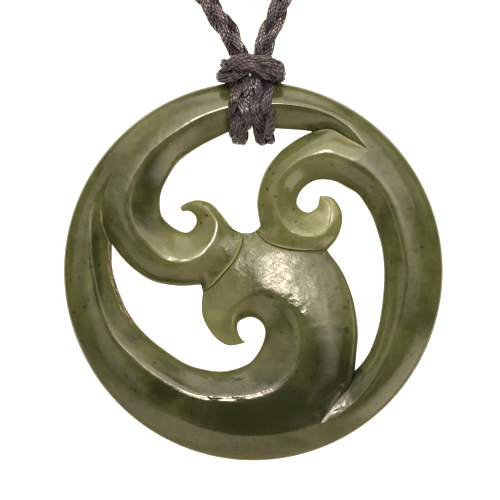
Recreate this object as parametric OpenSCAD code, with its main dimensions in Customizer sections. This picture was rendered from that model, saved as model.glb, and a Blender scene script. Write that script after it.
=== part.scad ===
// Carved greenstone pendant: a disc of three pierced koru fronds on a plaited waxed cord.
// Millimetres. Origin at the nape, where the cord's joint sits; +Z up, the carved face looks along -Y.

/* [Stone] */
// Diameter of the carved disc
disc_d = 55; // [54.8:0.1:55.1]
// Thickness of the stone from its flat back to a full crest
disc_t = 5.6; // [5.4:0.1:5.7]
// Height of the rim's edge above the flat back
rim_edge = 1.3; // [1:0.1:1.6]
// Width over which the rim swells from its edge to a full crest
rim_swell = 9; // [8:0.5:10]
// Height of the pierced openings' edges above the flat back
gap_edge = 2.3; // [2:0.1:2.6]
// Height of the three koru tips above the flat back
tip_edge = 2; // [1.6:0.1:2.2]

/* [Cord] */
// Width of the three-strand plait
plait_w = 2.54; // [2.5:0.02:2.6]
// Thickness of the plait
plait_t = 2.1; // [2.06:0.02:2.14]
// Diameter of one strand
strand_d = 0.78; // [0.6:0.02:0.8]
// Length over which a strand crosses the plait and comes back
plait_pitch = 15; // [14:0.5:17]
// Free space between the two ends of the cord inside the sleeve
end_gap = 0.8; // [0.4:0.1:2]

/* [Nape sleeve] */
// Length of the sleeve that joins the cord's ends
sleeve_l = 14; // [12:1:16]
// Outer diameter of the sleeve
sleeve_d = 4.4; // [4:0.1:5]
// Bore of the sleeve
sleeve_bore = 3; // [2.9:0.1:3.2]

/* [Hidden] */

disc_r = disc_d / 2;
// Where the disc's centre hangs below and in front of the nape
disc_at = [0, -103, -160];

// Each frond is a strip round the disc, from its outer edge over a crest to its inner edge.
// Stations count along a frond, about 2.5 mm apart on the ring and closer in the koru.
cut_end = 6;
seam_end = 10;
station_step = 0.5;
ring_fade = 6;
// Places across the two slopes of a section, 0 at the edge and 1 at the crest
outer_steps = [0, 0.1, 0.32, 0.64, 1];
inner_steps = [0.5, 0];
outer_round = 1.6;
edge_reach = 2.2;
inner_round = 1.2;

// Frond 1 is the left koru, 2 the body with the lower koru, 3 the right koru.
// first: angle where the frond leaves the rim; apex x, z: where its crest leaves the frond before it;
// ring: station where the next frond's apex stands on its outer slope; last: station of its tip
// [first, apex x, apex z, ring, last]
FROND = [
    [],
    [14, 16.5, 17.6, 24, 46],
    [112, -20.0, 14.9, 33, 58],
    [260, 9.6, -22.1, 27, 48]
];

// Crest lines from the apex to the tip [station, x, z]
CREST = [
    [],
    [[7.5, 14.3, 20.4], [8.8, 11.8, 22.2], [10.2, 8.8, 23.4], [12, 4.6, 24.1], [14, -0.2, 24.0],
     [15.4, -3.2, 23.7], [16.9, -6.6, 22.6], [18.1, -9.0, 21.4], [20.5, -13.2, 18.5], [22, -15.3, 16.5],
     [24, -17.3, 13.0], [26, -18.1, 9.8], [28, -17.1, 6.2], [30, -15.3, 4.0], [32, -13.0, 2.0],
     [33.5, -10.5, 1.4], [35, -8.2, 2.0], [36.5, -6.7, 3.2], [38, -5.6, 4.9], [39.5, -5.3, 7.0],
     [41, -6.0, 8.3], [42.5, -7.1, 9.2], [44, -8.5, 9.6], [45, -9.4, 9.4], [46, -10.3, 8.6]],
    [[7.05, -21.5, 12.9], [8.3, -23.0, 10.3], [9.3, -23.5, 8.0], [10.7, -23.6, 4.6], [12, -23.4, 1.6],
     [14.7, -22.2, -4.5], [17, -20.4, -9.1], [19.1, -17.3, -12.5], [20.7, -14.8, -14.6],
     [23.4, -10.3, -17.3], [25.4, -6.7, -18.3], [27.9, -1.9, -18.3], [30.6, 2.4, -17.2],
     [33, 4.6, -15.6], [35, 5.9, -14.0], [37, 6.8, -12.0], [39, 7.0, -9.4], [41, 6.3, -6.4],
     [43, 4.7, -4.4], [45, 2.6, -3.3], [47, 0.8, -3.1], [49, -0.9, -3.8], [51, -2.3, -4.9],
     [53, -3.3, -6.4], [55, -3.4, -8.1], [56.6, -2.7, -9.5], [58, -1.1, -10.4]],
    [[7.1, 12.0, -21.1], [8.4, 14.3, -19.4], [9.9, 16.6, -16.8], [11.9, 18.9, -12.9],
     [13.4, 20.2, -10.0], [15, 21.1, -6.5], [16.7, 21.8, -3.0], [18.4, 22.0, 0.4], [19.8, 21.6, 3.3],
     [21.4, 20.8, 6.5], [22.8, 19.9, 9.3], [24.2, 18.5, 11.9], [25.6, 16.6, 14.0], [27, 14.4, 15.4],
     [28.3, 12.5, 16.4], [29.7, 10.7, 16.7], [31, 8.9, 16.5], [32.5, 7.0, 15.8], [34, 5.2, 14.5],
     [35.5, 3.7, 12.6], [37, 3.1, 10.0], [38.5, 3.5, 8.0], [40, 4.6, 6.5], [41.5, 6.3, 5.4],
     [43, 8.3, 5.1], [44.3, 9.6, 5.4], [45.5, 10.7, 6.4], [46.5, 11.1, 8.2], [47.3, 11.0, 9.8],
     [48, 9.6, 10.9]]
];

// Height of each crest where it has left the ring [station, height]
CREST_HEIGHT = [
    [],
    [[20, 5.3], [28, 5.4], [33, 5.2], [37, 4.8], [41, 3.9], [44, 3.1], [46, tip_edge]],
    [[29, 5.5], [37, 5.5], [43, 5.2], [49, 4.6], [53, 3.8], [56, 2.9], [58, tip_edge]],
    [[22, 5.3], [30, 5.4], [36, 5.1], [41, 4.6], [45, 3.6], [47, 2.7], [48, tip_edge]]
];

// Valleys between a frond's inner slope (low) and the frond before it (high) [station, x, z, low, high]
VALLEY = [
    [],
    [[7.4, 13.8, 19.1, 3.5, 4.0], [8.8, 11.1, 20.5, 2.7, 3.4], [10, 8.6, 20.2, gap_edge, gap_edge]],
    [[7, -21.3, 12.0, 3.6, 3.6], [8, -21.7, 9.5, 3.1, 3.1], [9, -21.6, 6.5, 2.7, 2.7],
     [10, -20.5, 3.9, gap_edge, gap_edge]],
    [[7, 11.2, -19.8, 3.7, 3.7], [8, 12.6, -18.1, 3.2, 3.2], [9, 13.8, -16.5, 2.7, 2.7],
     [10, 14.7, -14.5, gap_edge, gap_edge]]
];

// Inner edges, along the openings, from the valley's end to the tip [station, x, z]
INNER = [
    [],
    [[10, 8.6, 20.2], [11, 6.8, 20.4], [12.4, 3.6, 20.6], [14, -0.2, 21.0], [14.8, -2.1, 20.7], [15.6, -3.8, 20.0],
     [17.7, -7.6, 18.1], [19.6, -10.5, 16.1], [21, -11.9, 14.3], [23, -13.1, 12.0], [24.8, -13.5, 10.3],
     [27, -13.3, 8.2], [29, -12.3, 6.9], [31.5, -11.0, 6.0], [34, -9.7, 5.6], [36, -8.8, 6.1],
     [37.7, -8.3, 6.9], [39.8, -8.3, 7.7], [42, -8.7, 8.3], [44.2, -9.4, 8.7], [46, -10.3, 8.6]],
    [[10, -20.5, 3.9], [12, -20.4, 0.3], [13.8, -19.5, -2.9], [16, -17.8, -6.5], [18.4, -15.2, -9.5],
     [21, -12.0, -12.0], [23.5, -9.3, -13.6], [25.4, -6.7, -14.3], [27.2, -4.5, -14.5],
     [29.5, -2.4, -14.1], [32, -0.6, -13.3], [35, 0.5, -12.1], [37.7, 1.3, -10.6], [40.2, 1.7, -9.0],
     [42.7, 1.4, -7.8], [45.2, 0.6, -7.0], [47.5, -0.4, -6.7], [49.5, -1.3, -6.9], [51.5, -2.1, -7.4],
     [53.5, -2.3, -8.2], [55.4, -2.1, -9.1], [56.9, -1.7, -9.8], [58, -1.1, -10.4]],
    [[10, 14.7, -14.5], [11, 15.9, -13.1], [12.6, 17.1, -11.0], [14.6, 18.2, -7.5], [16.9, 18.8, -3.0],
     [18.6, 18.9, 0.4], [20, 18.6, 3.2], [21.4, 18.0, 5.5], [22.8, 17.2, 7.8], [24.2, 16.2, 9.6],
     [25.6, 15.1, 11.1], [27.2, 13.5, 12.1], [29.2, 11.7, 13.0], [31.4, 9.6, 13.2], [33.7, 8.0, 12.6],
     [35.8, 6.8, 11.4], [38, 6.3, 10.0], [40.5, 6.8, 9.0], [43, 7.8, 8.5], [44.8, 8.7, 8.8],
     [46.4, 9.4, 9.6], [48, 9.6, 10.9]]
];

// Steps where the left and right korus stand above the body [station, x, z, body, koru]
STEP = [
    [],
    [[35, -7.3, -3.1, gap_edge, gap_edge], [35.5, -6.1, -2.2, 2.8, 3.1], [36.3, -4.7, -0.7, 3.4, 3.8],
     [37.4, -2.7, 1.7, 3.6, 4.0], [38.5, -1.6, 4.3, 3.0, 3.3], [39, -1.6, 5.5, gap_edge, gap_edge]],
    [],
    [[38, 0.3, 5.8, gap_edge, gap_edge], [38.6, 1.3, 4.8, 3.0, 3.3], [39.2, 2.4, 4.0, 3.5, 3.8],
     [40, 4.7, 3.3, 3.7, 4.1], [41, 7.5, 3.0, 3.3, 3.6], [42, 10.7, 3.0, gap_edge, gap_edge]]
];
// The body meets each step backwards: its own station and the step's add up to this
body_count = [0, 87, 0, 85];
// Station at which the next frond leaves the rim
RIM_END = [0, 18, 27, 21];

// Outer edges along the openings [station, x, z]
LEFT_UNDER = [
    [28, -20.5, 3.9], [29.3, -19.0, 1.9], [30.3, -17.4, 0.3], [31.5, -15.2, -1.2], [32.5, -13.1, -1.9],
    [33.3, -10.3, -2.2], [34, -7.5, -2.0]
];
LEFT_CORNER = [[34, -7.5, -2.0], [35, -7.3, -3.1]];
LEFT_HEAD = [
    [39, -1.6, 5.5], [39.7, -2.7, 6.0], [40.4, -3.7, 7.1], [41.3, -4.7, 8.4], [42.3, -6.1, 9.8],
    [43.3, -7.9, 10.3], [44.3, -9.4, 10.0], [45.2, -10.5, 9.3], [46, -10.3, 8.6]
];
BODY_RIGHT = [
    [37, 14.7, -14.5], [38, 15.0, -11.7], [39, 15.2, -9.1], [40, 14.9, -6.1], [41, 14.2, -3.2],
    [42, 12.8, 0.1], [43, 10.7, 3.0]
];
BODY_TOP = [[47, 0.3, 5.8], [47.5, -0.6, 5.5], [48, -1.6, 5.5]];
BODY_LEFT = [
    [52, -7.3, -3.1], [53, -7.5, -4.9], [54, -7.3, -6.7], [55, -6.4, -8.5], [56, -5.1, -10.0],
    [57, -3.4, -10.8], [58, -1.1, -10.4]
];
RIGHT_OUTSIDE = [
    [31, 8.6, 20.2], [32, 6.3, 19.1], [33, 4.0, 17.4], [34, 2.1, 15.2], [35, 1.0, 12.7],
    [36, 0.5, 10.1], [36.4, 0.6, 8.6], [37, 1.0, 6.3]
];
RIGHT_CORNER = [[37, 1.0, 6.3], [38, 0.3, 5.8]];
RIGHT_HEAD = [
    [42, 10.7, 3.0], [43, 12.0, 4.5], [44, 12.7, 6.2], [45, 12.9, 8.0], [46, 12.4, 9.5],
    [47, 11.3, 10.7], [48, 9.6, 10.9]
];

// Index of the span of a table that holds a station
function span_of(t, s, i = 0) = i >= len(t) - 2 || s < t[i + 1][0] ? i : span_of(t, s, i + 1);

// Change of every column for each station at a row
function slope_at(t, i) =
    let (a = t[max(i - 1, 0)], b = t[min(i + 1, len(t) - 1)])
    (b - a) / (b[0] - a[0]);

// A table's columns at a station, on a smooth curve through its rows
function at(t, s) =
    let (
        i = span_of(t, s),
        wide = t[i + 1][0] - t[i][0],
        u = (s - t[i][0]) / wide,
        leave = slope_at(t, i) * wide,
        arrive = slope_at(t, i + 1) * wide
    )
    t[i] * (1 + u * u * (2 * u - 3)) + leave * u * (1 + u * (u - 2))
    + t[i + 1] * u * u * (3 - 2 * u) + arrive * u * u * (u - 1);

function mix(a, b, w) = a * (1 - w) + b * w;
function clamp(v) = max(0, min(1, v));

// Height of the ring's outer face at a distance in from the rim
function swell(d) =
    let (u = 1 - clamp(d / rim_swell))
    rim_edge + (disc_t - rim_edge) * sqrt(1 - u * u);

// The rim from a frond's first station to where the next frond leaves it
function rim_point(k, s) =
    let (
        first = FROND[k][0],
        next = FROND[k % 3 + 1][0],
        angle = mix(first, next < first ? next + 360 : next, s / RIM_END[k])
    )
    [disc_r * cos(angle), disc_r * sin(angle), rim_edge];
function rim_depth(x, z) = disc_r - norm([x, z]);

// The line by which a frond leaves the rim: [x, z, height]
function cut_point(k, s) =
    let (
        f = FROND[k],
        t = s / cut_end,
        turn = (atan2(f[2], f[1]) - f[0] + 720) % 360,
        depth = rim_depth(f[1], f[2]) * t * t,
        angle = f[0] + turn * t
    )
    [(disc_r - depth) * cos(angle), (disc_r - depth) * sin(angle), swell(depth)];

function apex(k) = cut_point(k, cut_end);

// The line between a frond and the one before it: [x, z, low, high]
function seam_point(k, s) =
    let (a = s < cut_end ? cut_point(k, s) : apex(k))
    s <= cut_end
        ? [a[0], a[1], a[2], a[2]]
        : let (p = at(concat([[cut_end, a[0], a[1], a[2], a[2]]], VALLEY[k]), s))
            [p[1], p[2], p[3], p[4]];

function low_side(p) = [p[0], p[1], p[2]];
function high_side(p) = [p[0], p[1], p[3]];
function edge_point(t, s, h) = let (p = at(t, s)) [p[1], p[2], h];
function step_point(k, s, column) = let (p = at(STEP[k], s)) [p[1], p[2], p[column]];

// Height of an opening's edge, which thins over the last stations to the tip
function edge_height(k, s) = mix(gap_edge, tip_edge, clamp((s - FROND[k][4] + 4) / 4));

// Outer edge of each frond: [x, z, height]
function outer_left(s) =
    s <= 28 ? high_side(seam_point(2, s - RIM_END[1]))
    : s <= 34 ? edge_point(LEFT_UNDER, s, gap_edge)
    : s <= 35 ? edge_point(LEFT_CORNER, s, gap_edge)
    : s <= 39 ? step_point(1, s, 4)
    : edge_point(LEFT_HEAD, s, edge_height(1, s));
function outer_body(s) =
    s <= 37 ? high_side(seam_point(3, s - RIM_END[2]))
    : s <= 43 ? edge_point(BODY_RIGHT, s, gap_edge)
    : s <= 47 ? step_point(3, body_count[3] - s, 3)
    : s <= 48 ? edge_point(BODY_TOP, s, gap_edge)
    : s <= 52 ? step_point(1, body_count[1] - s, 3)
    : edge_point(BODY_LEFT, s, edge_height(2, s));
function outer_right(s) =
    s <= 31 ? high_side(seam_point(1, s - RIM_END[3]))
    : s <= 37 ? edge_point(RIGHT_OUTSIDE, s, gap_edge)
    : s <= 38 ? edge_point(RIGHT_CORNER, s, gap_edge)
    : s <= 42 ? step_point(3, s, 4)
    : edge_point(RIGHT_HEAD, s, edge_height(3, s));
function outer_point(k, s) =
    s <= RIM_END[k] ? rim_point(k, s) : k == 1 ? outer_left(s) : k == 2 ? outer_body(s) : outer_right(s);

// Stretches where an outer edge meets another frond and has no wall of its own
SHARED = [[], [[18, 28], [35, 39]], [[27, 37], [43, 47], [48, 52]], [[21, 31], [38, 42]]];

function inner_point(k, s) =
    s < seam_end ? low_side(seam_point(k, s)) : edge_point(INNER[k], s, edge_height(k, s));

// How far a section still lies on the ring's own swelling face: 1 on it, 0 off it
function on_ring(k, s) = 1 - clamp((s - FROND[k][3]) / ring_fade);

function crest_point(k, s) =
    let (a = apex(k))
    s <= cut_end
        ? low_side(seam_point(k, s))
        : let (p = at(concat([[cut_end, a[0], a[1]]], CREST[k]), s), h = at(CREST_HEIGHT[k], s)[1])
            [p[1], p[2], mix(h, swell(rim_depth(p[1], p[2])), on_ring(k, s))];

// A rounded rise from 0 to 1, upright at the edge and level at the crest
function rise(u, roundness) = pow(1 - pow(1 - u, roundness), 1 / roundness);

// A point of the outer slope, which follows the ring's face while the frond is part of the ring
function outer_slope(o, c, w, u) =
    let (
        p = mix(o, c, u),
        limb = mix(o[2], c[2], rise(u, outer_round)),
        off = swell(rim_depth(p[0], p[1])) - limb,
        off_edge = swell(rim_depth(o[0], o[1])) - o[2],
        off_crest = swell(rim_depth(c[0], c[1])) - c[2],
        // What the edge lies below the ring's face is made up close to the edge
        near = pow(1 - u, max(1, norm([c[0] - o[0], c[1] - o[1]]) / edge_reach))
    )
    [p[0], p[1], limb + w * (off - mix(off_crest, off_edge, near))];

function inner_slope(c, i, v) =
    let (p = mix(i, c, v)) [p[0], p[1], mix(i[2], c[2], rise(v, inner_round))];

// One section of a frond, from outer edge to inner edge, then its back: outer, crest, inner
function section(k, s) =
    let (o = outer_point(k, s), c = crest_point(k, s), i = inner_point(k, s), w = on_ring(k, s))
    concat(
        [for (u = outer_steps) outer_slope(o, c, w, u)],
        [for (v = inner_steps) inner_slope(c, i, v)],
        [[o[0], o[1], 0], [c[0], c[1], 0], [i[0], i[1], 0]]
    );

front_count = len(outer_steps) + len(inner_steps);
section_count = front_count + 3;
inner_at = front_count - 1;
back_outer = front_count;
back_crest = front_count + 1;
back_inner = front_count + 2;

function stations(k) = [0:station_step:FROND[k][4]];
function ring_count(k) = FROND[k][4] / station_step + 1;
function first_point(k) = k == 1 ? 0 : first_point(k - 1) + ring_count(k - 1) * section_count;
function point_id(k, s, j) = first_point(k) + s / station_step * section_count + j;
function is_shared(k, s) = len([for (r = SHARED[k]) if (s >= r[0] && s < r[1]) r]) > 0;

// The two triangles of a patch
function patch(a, b, c, d) = [[a, b, c], [a, c, d]];

function strip_faces(k) = [
    for (s = [0:station_step:FROND[k][4] - station_step])
        let (
            e = s + station_step,
            front = [for (j = [0:inner_at - 1])
                patch(point_id(k, s, j + 1), point_id(k, e, j + 1), point_id(k, e, j), point_id(k, s, j))],
            back = [for (j = [back_outer, back_crest])
                patch(point_id(k, s, j), point_id(k, e, j), point_id(k, e, j + 1), point_id(k, s, j + 1))],
            outside = is_shared(k, s) ? [] : [patch(
                point_id(k, s, 0), point_id(k, e, 0), point_id(k, e, back_outer), point_id(k, s, back_outer))],
            inside = s < seam_end ? [] : [patch(
                point_id(k, s, back_inner), point_id(k, e, back_inner),
                point_id(k, e, inner_at), point_id(k, s, inner_at))]
        )
        each concat(front, back, outside, inside)
];

// The small upright wall where the edge of frond k stands above its neighbour's.
// other: the neighbour and its column; first: its station there; turn: -1 where it counts backwards
function wall_faces(k, ends, other, first, turn) = [
    for (s = [ends[0]:station_step:ends[1] - station_step])
        let (e = s + station_step)
        patch(point_id(k, s, 0), point_id(k, e, 0),
            point_id(other[0], first + turn * (e - ends[0]), other[1]),
            point_id(other[0], first + turn * (s - ends[0]), other[1]))
];

stone_points = [for (k = [1:3]) for (s = stations(k)) each section(k, s)];
stone_patches = concat(
    strip_faces(1), strip_faces(2), strip_faces(3),
    wall_faces(1, SHARED[1][1], [2, 0], SHARED[2][2][1], -1),
    wall_faces(3, SHARED[3][1], [2, 0], SHARED[2][1][1], -1),
    wall_faces(3, [RIM_END[3] + cut_end, SHARED[3][0][1]], [1, inner_at], cut_end, 1)
);

// A triangle whose corners are three different places
function is_real(f, tiny = 0.0001) =
    norm(stone_points[f[0]] - stone_points[f[1]]) > tiny
    && norm(stone_points[f[1]] - stone_points[f[2]]) > tiny
    && norm(stone_points[f[2]] - stone_points[f[0]]) > tiny;

module koru_disc() {
    color("olivedrab")
        translate(disc_at)
            polyhedron(
                points = [for (p = stone_points) [p[0], disc_t / 2 - p[2], p[1]]],
                faces = [for (q = stone_patches) for (f = q) if (is_real(f)) f]
            );
}

// Route of the cord's middle, from the sleeve round the wearer's right, through the knot and back.
// Round the neck, from the nape [x, y, z, face x, face y, face z, spread]
NECK_A = [
    [-end_gap / 2, 0, 0, 0, 1, 0, 1], [-8, 0, 0, 0, 1, 0, 1], [-20, -2, 0, -0.3, 1, 0, 1],
    [-34, -9, 0, -0.6, 0.8, 0, 1], [-46, -21, -2, -0.8, 0.5, 0, 1], [-53, -37, -7, -1, 0.2, 0.2, 1],
    [-55, -54, -15, -1, 0, 0.3, 1], [-53.5, -68, -29, -1, -0.2, 0.2, 1], [-49, -79, -44, -0.8, -0.6, 0.2, 1],
    [-42.5, -87.5, -59, -0.5, -0.8, 0.2, 1], [-34, -94, -75, -0.2, -1, 0.2, 1],
    [-25.5, -98.5, -90, 0, -1, 0.2, 1], [-16.2, -102, -106, 0, -1, 0.1, 1]
];
NECK_B = [
    [10.6, -102, -106, 0, -1, 0.1, 1], [18, -98.5, -90, 0, -1, 0.2, 1], [26, -94, -75, 0.2, -1, 0.2, 1],
    [34.5, -88, -59, 0.5, -0.8, 0.2, 1], [43, -80, -43, 0.8, -0.6, 0.2, 1],
    [51, -69, -28, 1, -0.2, 0.2, 1], [55, -54, -15, 1, 0, 0.3, 1], [53, -37, -7, 1, 0.2, 0.2, 1],
    [46, -21, -2, 0.8, 0.5, 0, 1], [34, -9, 0, 0.6, 0.8, 0, 1], [20, -2, 0, 0.3, 1, 0, 1],
    [8, 0, 0, 0, 1, 0, 1], [end_gap / 2, 0, 0, 0, 1, 0, 1]
];
// The lark's-head knot round the top of the ring, from the disc's centre, in the same columns
KNOT = [
    [-6.7, -1.2, 39.2, 0, -1, 0, 1], [-3.4, -1.2, 34, 0, -1, 0, 1], [-2.0, -1.2, 31.3, 0, -1, 0, 1],
    [-1.7, -1.3, 29.4, 0, -1, 0, 1], [-1.7, -1.6, 27.6, 0, -1, 0.2, 1], [-1.8, -2.5, 25.7, 0, -1, 0.3, 1],
    [-2.0, -3.1, 23.9, 0, -1, 0, 1.1], [-2.1, -2.4, 21.9, 0, -0.9, -0.5, 1.1],
    [-2.0, -0.8, 20.1, 0, -0.6, -0.8, 1.1], [-2.0, 1.2, 19.2, 0, 0, -1, 1],
    [-2.0, 3.2, 19.5, 0, 0.6, -0.8, 1], [-2.1, 4.2, 21.3, 0, 1, -0.2, 1], [-2.3, 4.2, 24, 0, 1, 0, 1],
    [-2.7, 4.2, 26.5, -0.2, 1, 0.2, 1], [-3.3, 3.6, 28.3, -0.4, 0.6, 0.7, 1],
    [-3.9, 1.9, 29.1, -0.7, 0.1, 0.7, 1], [-4.2, 0, 28.9, -0.9, 0, 0.3, 1],
    [-4.1, -1.9, 28.7, -1, -0.3, 0.1, 1], [-3.3, -3.3, 28.9, -0.6, -0.8, 0.3, 1],
    [-1.7, -3.7, 29.7, -0.1, -1, 0.3, 1], [-0.1, -3.8, 30.1, 0, -1, 0.3, 1],
    [1.4, -3.7, 29.7, 0.1, -1, 0.3, 1], [2.7, -3.2, 28.9, 0.7, -0.7, 0.3, 1],
    [3.5, -1.8, 28.7, 1, -0.3, 0.1, 1], [3.6, 0.1, 28.9, 0.9, 0, 0.3, 1], [3.4, 1.9, 29.1, 0.7, 0.1, 0.7, 1],
    [2.9, 3.6, 28.3, 0.4, 0.6, 0.7, 1], [2.4, 4.2, 26.5, 0.2, 1, 0.2, 1], [2.0, 4.2, 24, 0, 1, 0, 1],
    [1.9, 4.2, 21.3, 0, 1, -0.2, 1], [1.9, 3.2, 19.5, 0, 0.6, -0.8, 1], [1.9, 1.2, 19.2, 0, 0, -1, 1],
    [1.9, -0.8, 20.1, 0, -0.6, -0.8, 1.1], [1.8, -2.4, 21.9, 0, -0.9, -0.5, 1.1],
    [1.6, -3.1, 23.9, 0, -1, 0, 1.1], [1.3, -2.5, 25.7, 0, -1, 0.3, 1], [1.1, -1.6, 27.6, 0, -1, 0.2, 1],
    [1.1, -1.3, 29.4, 0, -1, 0, 1], [1.2, -1.2, 31.3, 0, -1, 0, 1], [2.4, -1.2, 34.7, 0, -1, 0, 1],
    [4.2, -1.2, 39.2, 0, -1, 0, 1]
];
ROUTE = concat(NECK_A, [for (p = KNOT) p + concat(disc_at, [0, 0, 0, 0])], NECK_B);

// A strand has rings at even parts of its way across the plait, which are finer in the knot
neck_turn = 45;
knot_turn = 22.5;
strand_sides = 5;
samples = 10;

function route_span(i, u) =
    let (
        n = len(ROUTE) - 1,
        b = ROUTE[i],
        c = ROUTE[i + 1],
        a = i > 0 ? ROUTE[i - 1] : b * 2 - c,
        d = i < n - 1 ? ROUTE[i + 2] : c * 2 - b
    )
    0.5 * (b * 2 + (c - a) * u + (a * 2 - b * 5 + c * 4 - d) * u * u + (b * 3 - a - c * 3 + d) * u * u * u);
function place(p) = [p[0], p[1], p[2]];
function facing(p) = [p[3], p[4], p[5]];
function unit(v) = v / norm(v);

fine = [
    for (i = [0:len(ROUTE) - 2]) for (j = [0:samples - 1]) route_span(i, j / samples),
    ROUTE[len(ROUTE) - 1]
];
fine_gap = [for (i = [1:len(fine) - 1]) norm(place(fine[i]) - place(fine[i - 1])), 0];
travelled = [for (i = 0, d = 0; i < len(fine); d = d + fine_gap[i], i = i + 1) d];
cord_length = travelled[len(fine) - 1];
knot_start = travelled[(len(NECK_A) + 1) * samples];
knot_finish = travelled[(len(NECK_A) + len(KNOT) - 2) * samples];
columns = [for (c = [0:6]) [for (i = [0:len(fine) - 1]) [travelled[i], fine[i][c]]]];

// Every column of the route at a length along it
function route_at(d) = [for (c = columns) lookup(d, c)];

// Side and face of the plait at a length along the route
function frame_at(d, reach = 0.4) =
    let (
        t = unit(place(route_at(min(cord_length, d + reach))) - place(route_at(max(0, d - reach)))),
        f = facing(route_at(d)),
        face = unit(f - t * (f * t))
    )
    [cross(t, face), face];

// Lengths along the route at which a strand has a ring
function ring_places(n) =
    let (
        part = plait_pitch * knot_turn / 360,
        start = part * (1 - (120 * n / knot_turn) % 1),
        every = neck_turn / knot_turn,
        count = floor((cord_length - start) / part),
        phase = floor(120 * n / knot_turn) + 1
    )
    concat([0], [
        for (m = [0:count])
            let (d = start + m * part)
            if (d > 0.5 && d < cord_length - 0.5
                && ((d > knot_start && d < knot_finish) || (m + phase) % every == 0)) d
    ], [cord_length]);

sway_wide = (plait_w - strand_d) / 2;
sway_deep = (plait_t - strand_d) / 2;

// Middle of one strand, which crosses the plait from side to side and goes over and under
function strand_middle(n, d) =
    let (r = route_at(d), f = frame_at(d), turn = 360 * d / plait_pitch + 120 * n)
    place(r) + f[0] * sway_wide * r[6] * sin(turn) + f[1] * sway_deep * sin(2 * turn);

function strand_points(n, places) =
    let (line = [for (d = places) strand_middle(n, d)], last = len(places) - 1)
    [for (i = [0:last])
        let (
            t = unit(line[min(i + 1, last)] - line[max(i - 1, 0)]),
            f = frame_at(places[i])[1],
            face = unit(f - t * (f * t)),
            side = cross(t, face)
        )
        for (j = [0:strand_sides - 1])
            line[i] + strand_d / 2 * (side * cos(360 * j / strand_sides) + face * sin(360 * j / strand_sides))
    ];

function strand_faces(count) = concat(
    [[for (j = [strand_sides - 1:-1:0]) j]],
    [for (i = [0:count - 2]) for (j = [0:strand_sides - 1])
        let (a = i * strand_sides, b = a + strand_sides, next = (j + 1) % strand_sides)
        each [[a + j, a + next, b + next], [a + j, b + next, b + j]]],
    [[for (j = [0:strand_sides - 1]) (count - 1) * strand_sides + j]]
);

module strand(n) {
    color("dimgray")
        let (places = ring_places(n))
            polyhedron(points = strand_points(n, places), faces = strand_faces(len(places)));
}

module nape_sleeve() {
    color("black")
        rotate([0, 90, 0])
            difference() {
                cylinder(h = sleeve_l, d = sleeve_d, center = true, $fn = 48);
                cylinder(h = sleeve_l + 1, d = sleeve_bore, center = true, $fn = 48);
            }
}

koru_disc();
strand(1);  // strand_1
strand(2);  // strand_2
strand(3);  // strand_3
nape_sleeve();
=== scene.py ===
"""Dresses the carved greenstone pendant and its plaited cord, and lights it for the studio."""

import logging
import math
from dataclasses import dataclass, field
from enum import IntEnum
from typing import Any, Sequence

import bmesh
import bpy
import numpy as np
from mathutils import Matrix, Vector

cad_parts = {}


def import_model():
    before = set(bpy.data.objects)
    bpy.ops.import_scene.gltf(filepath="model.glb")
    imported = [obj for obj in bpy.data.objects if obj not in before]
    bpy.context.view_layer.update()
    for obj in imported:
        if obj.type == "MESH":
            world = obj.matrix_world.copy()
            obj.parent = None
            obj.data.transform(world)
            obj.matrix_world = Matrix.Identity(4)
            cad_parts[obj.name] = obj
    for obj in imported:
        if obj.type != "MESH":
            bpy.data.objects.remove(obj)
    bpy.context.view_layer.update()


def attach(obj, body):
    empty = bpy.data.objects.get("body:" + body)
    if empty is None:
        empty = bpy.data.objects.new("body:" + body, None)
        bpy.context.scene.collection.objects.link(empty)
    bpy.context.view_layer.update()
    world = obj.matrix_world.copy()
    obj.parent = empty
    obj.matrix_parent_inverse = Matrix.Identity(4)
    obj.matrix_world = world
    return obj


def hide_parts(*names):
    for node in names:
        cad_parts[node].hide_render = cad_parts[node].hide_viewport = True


log = logging.getLogger("pendant")

MM = 0.001
BODY = "root"

# The stone's centre below and in front of the nape, in millimetres
STONE_AT = np.array([0.0, -103.0, -160.0])

Rows = Sequence[Sequence[float]]


def bare_selection() -> None:
    """Leaves nothing selected, in object mode."""
    if bpy.context.object and bpy.context.object.mode != "OBJECT":
        bpy.ops.object.mode_set(mode="OBJECT")
    bpy.ops.object.select_all(action="DESELECT")


def pick(*objects: bpy.types.Object) -> None:
    """Selects these objects alone and makes the first one active.

    Args:
        objects: what the next operator is to work on.
    """
    bare_selection()
    for piece in objects:
        piece.select_set(True)
    bpy.context.view_layer.objects.active = objects[0]


def settle(piece: bpy.types.Object) -> None:
    """Puts the piece's place, turn and size into its mesh."""
    pick(piece)
    bpy.ops.object.transform_apply(location=True, rotation=True, scale=True)


def smooth_by_angle(piece: bpy.types.Object, degrees: float) -> None:
    """Shades the piece smoothly except over edges sharper than an angle."""
    pick(piece)
    bpy.ops.object.shade_smooth_by_angle(angle=math.radians(degrees))


def store(piece: bpy.types.Object, name: str, values: np.ndarray) -> None:
    """Writes one number for each vertex as a named attribute of the piece.

    Args:
        piece: the mesh object.
        name: the attribute's name, which a material reads.
        values: one number for each vertex.
    """
    attribute = piece.data.attributes.new(name, "FLOAT", "POINT")
    attribute.data.foreach_set("value", values.astype(np.float32).ravel())


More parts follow.
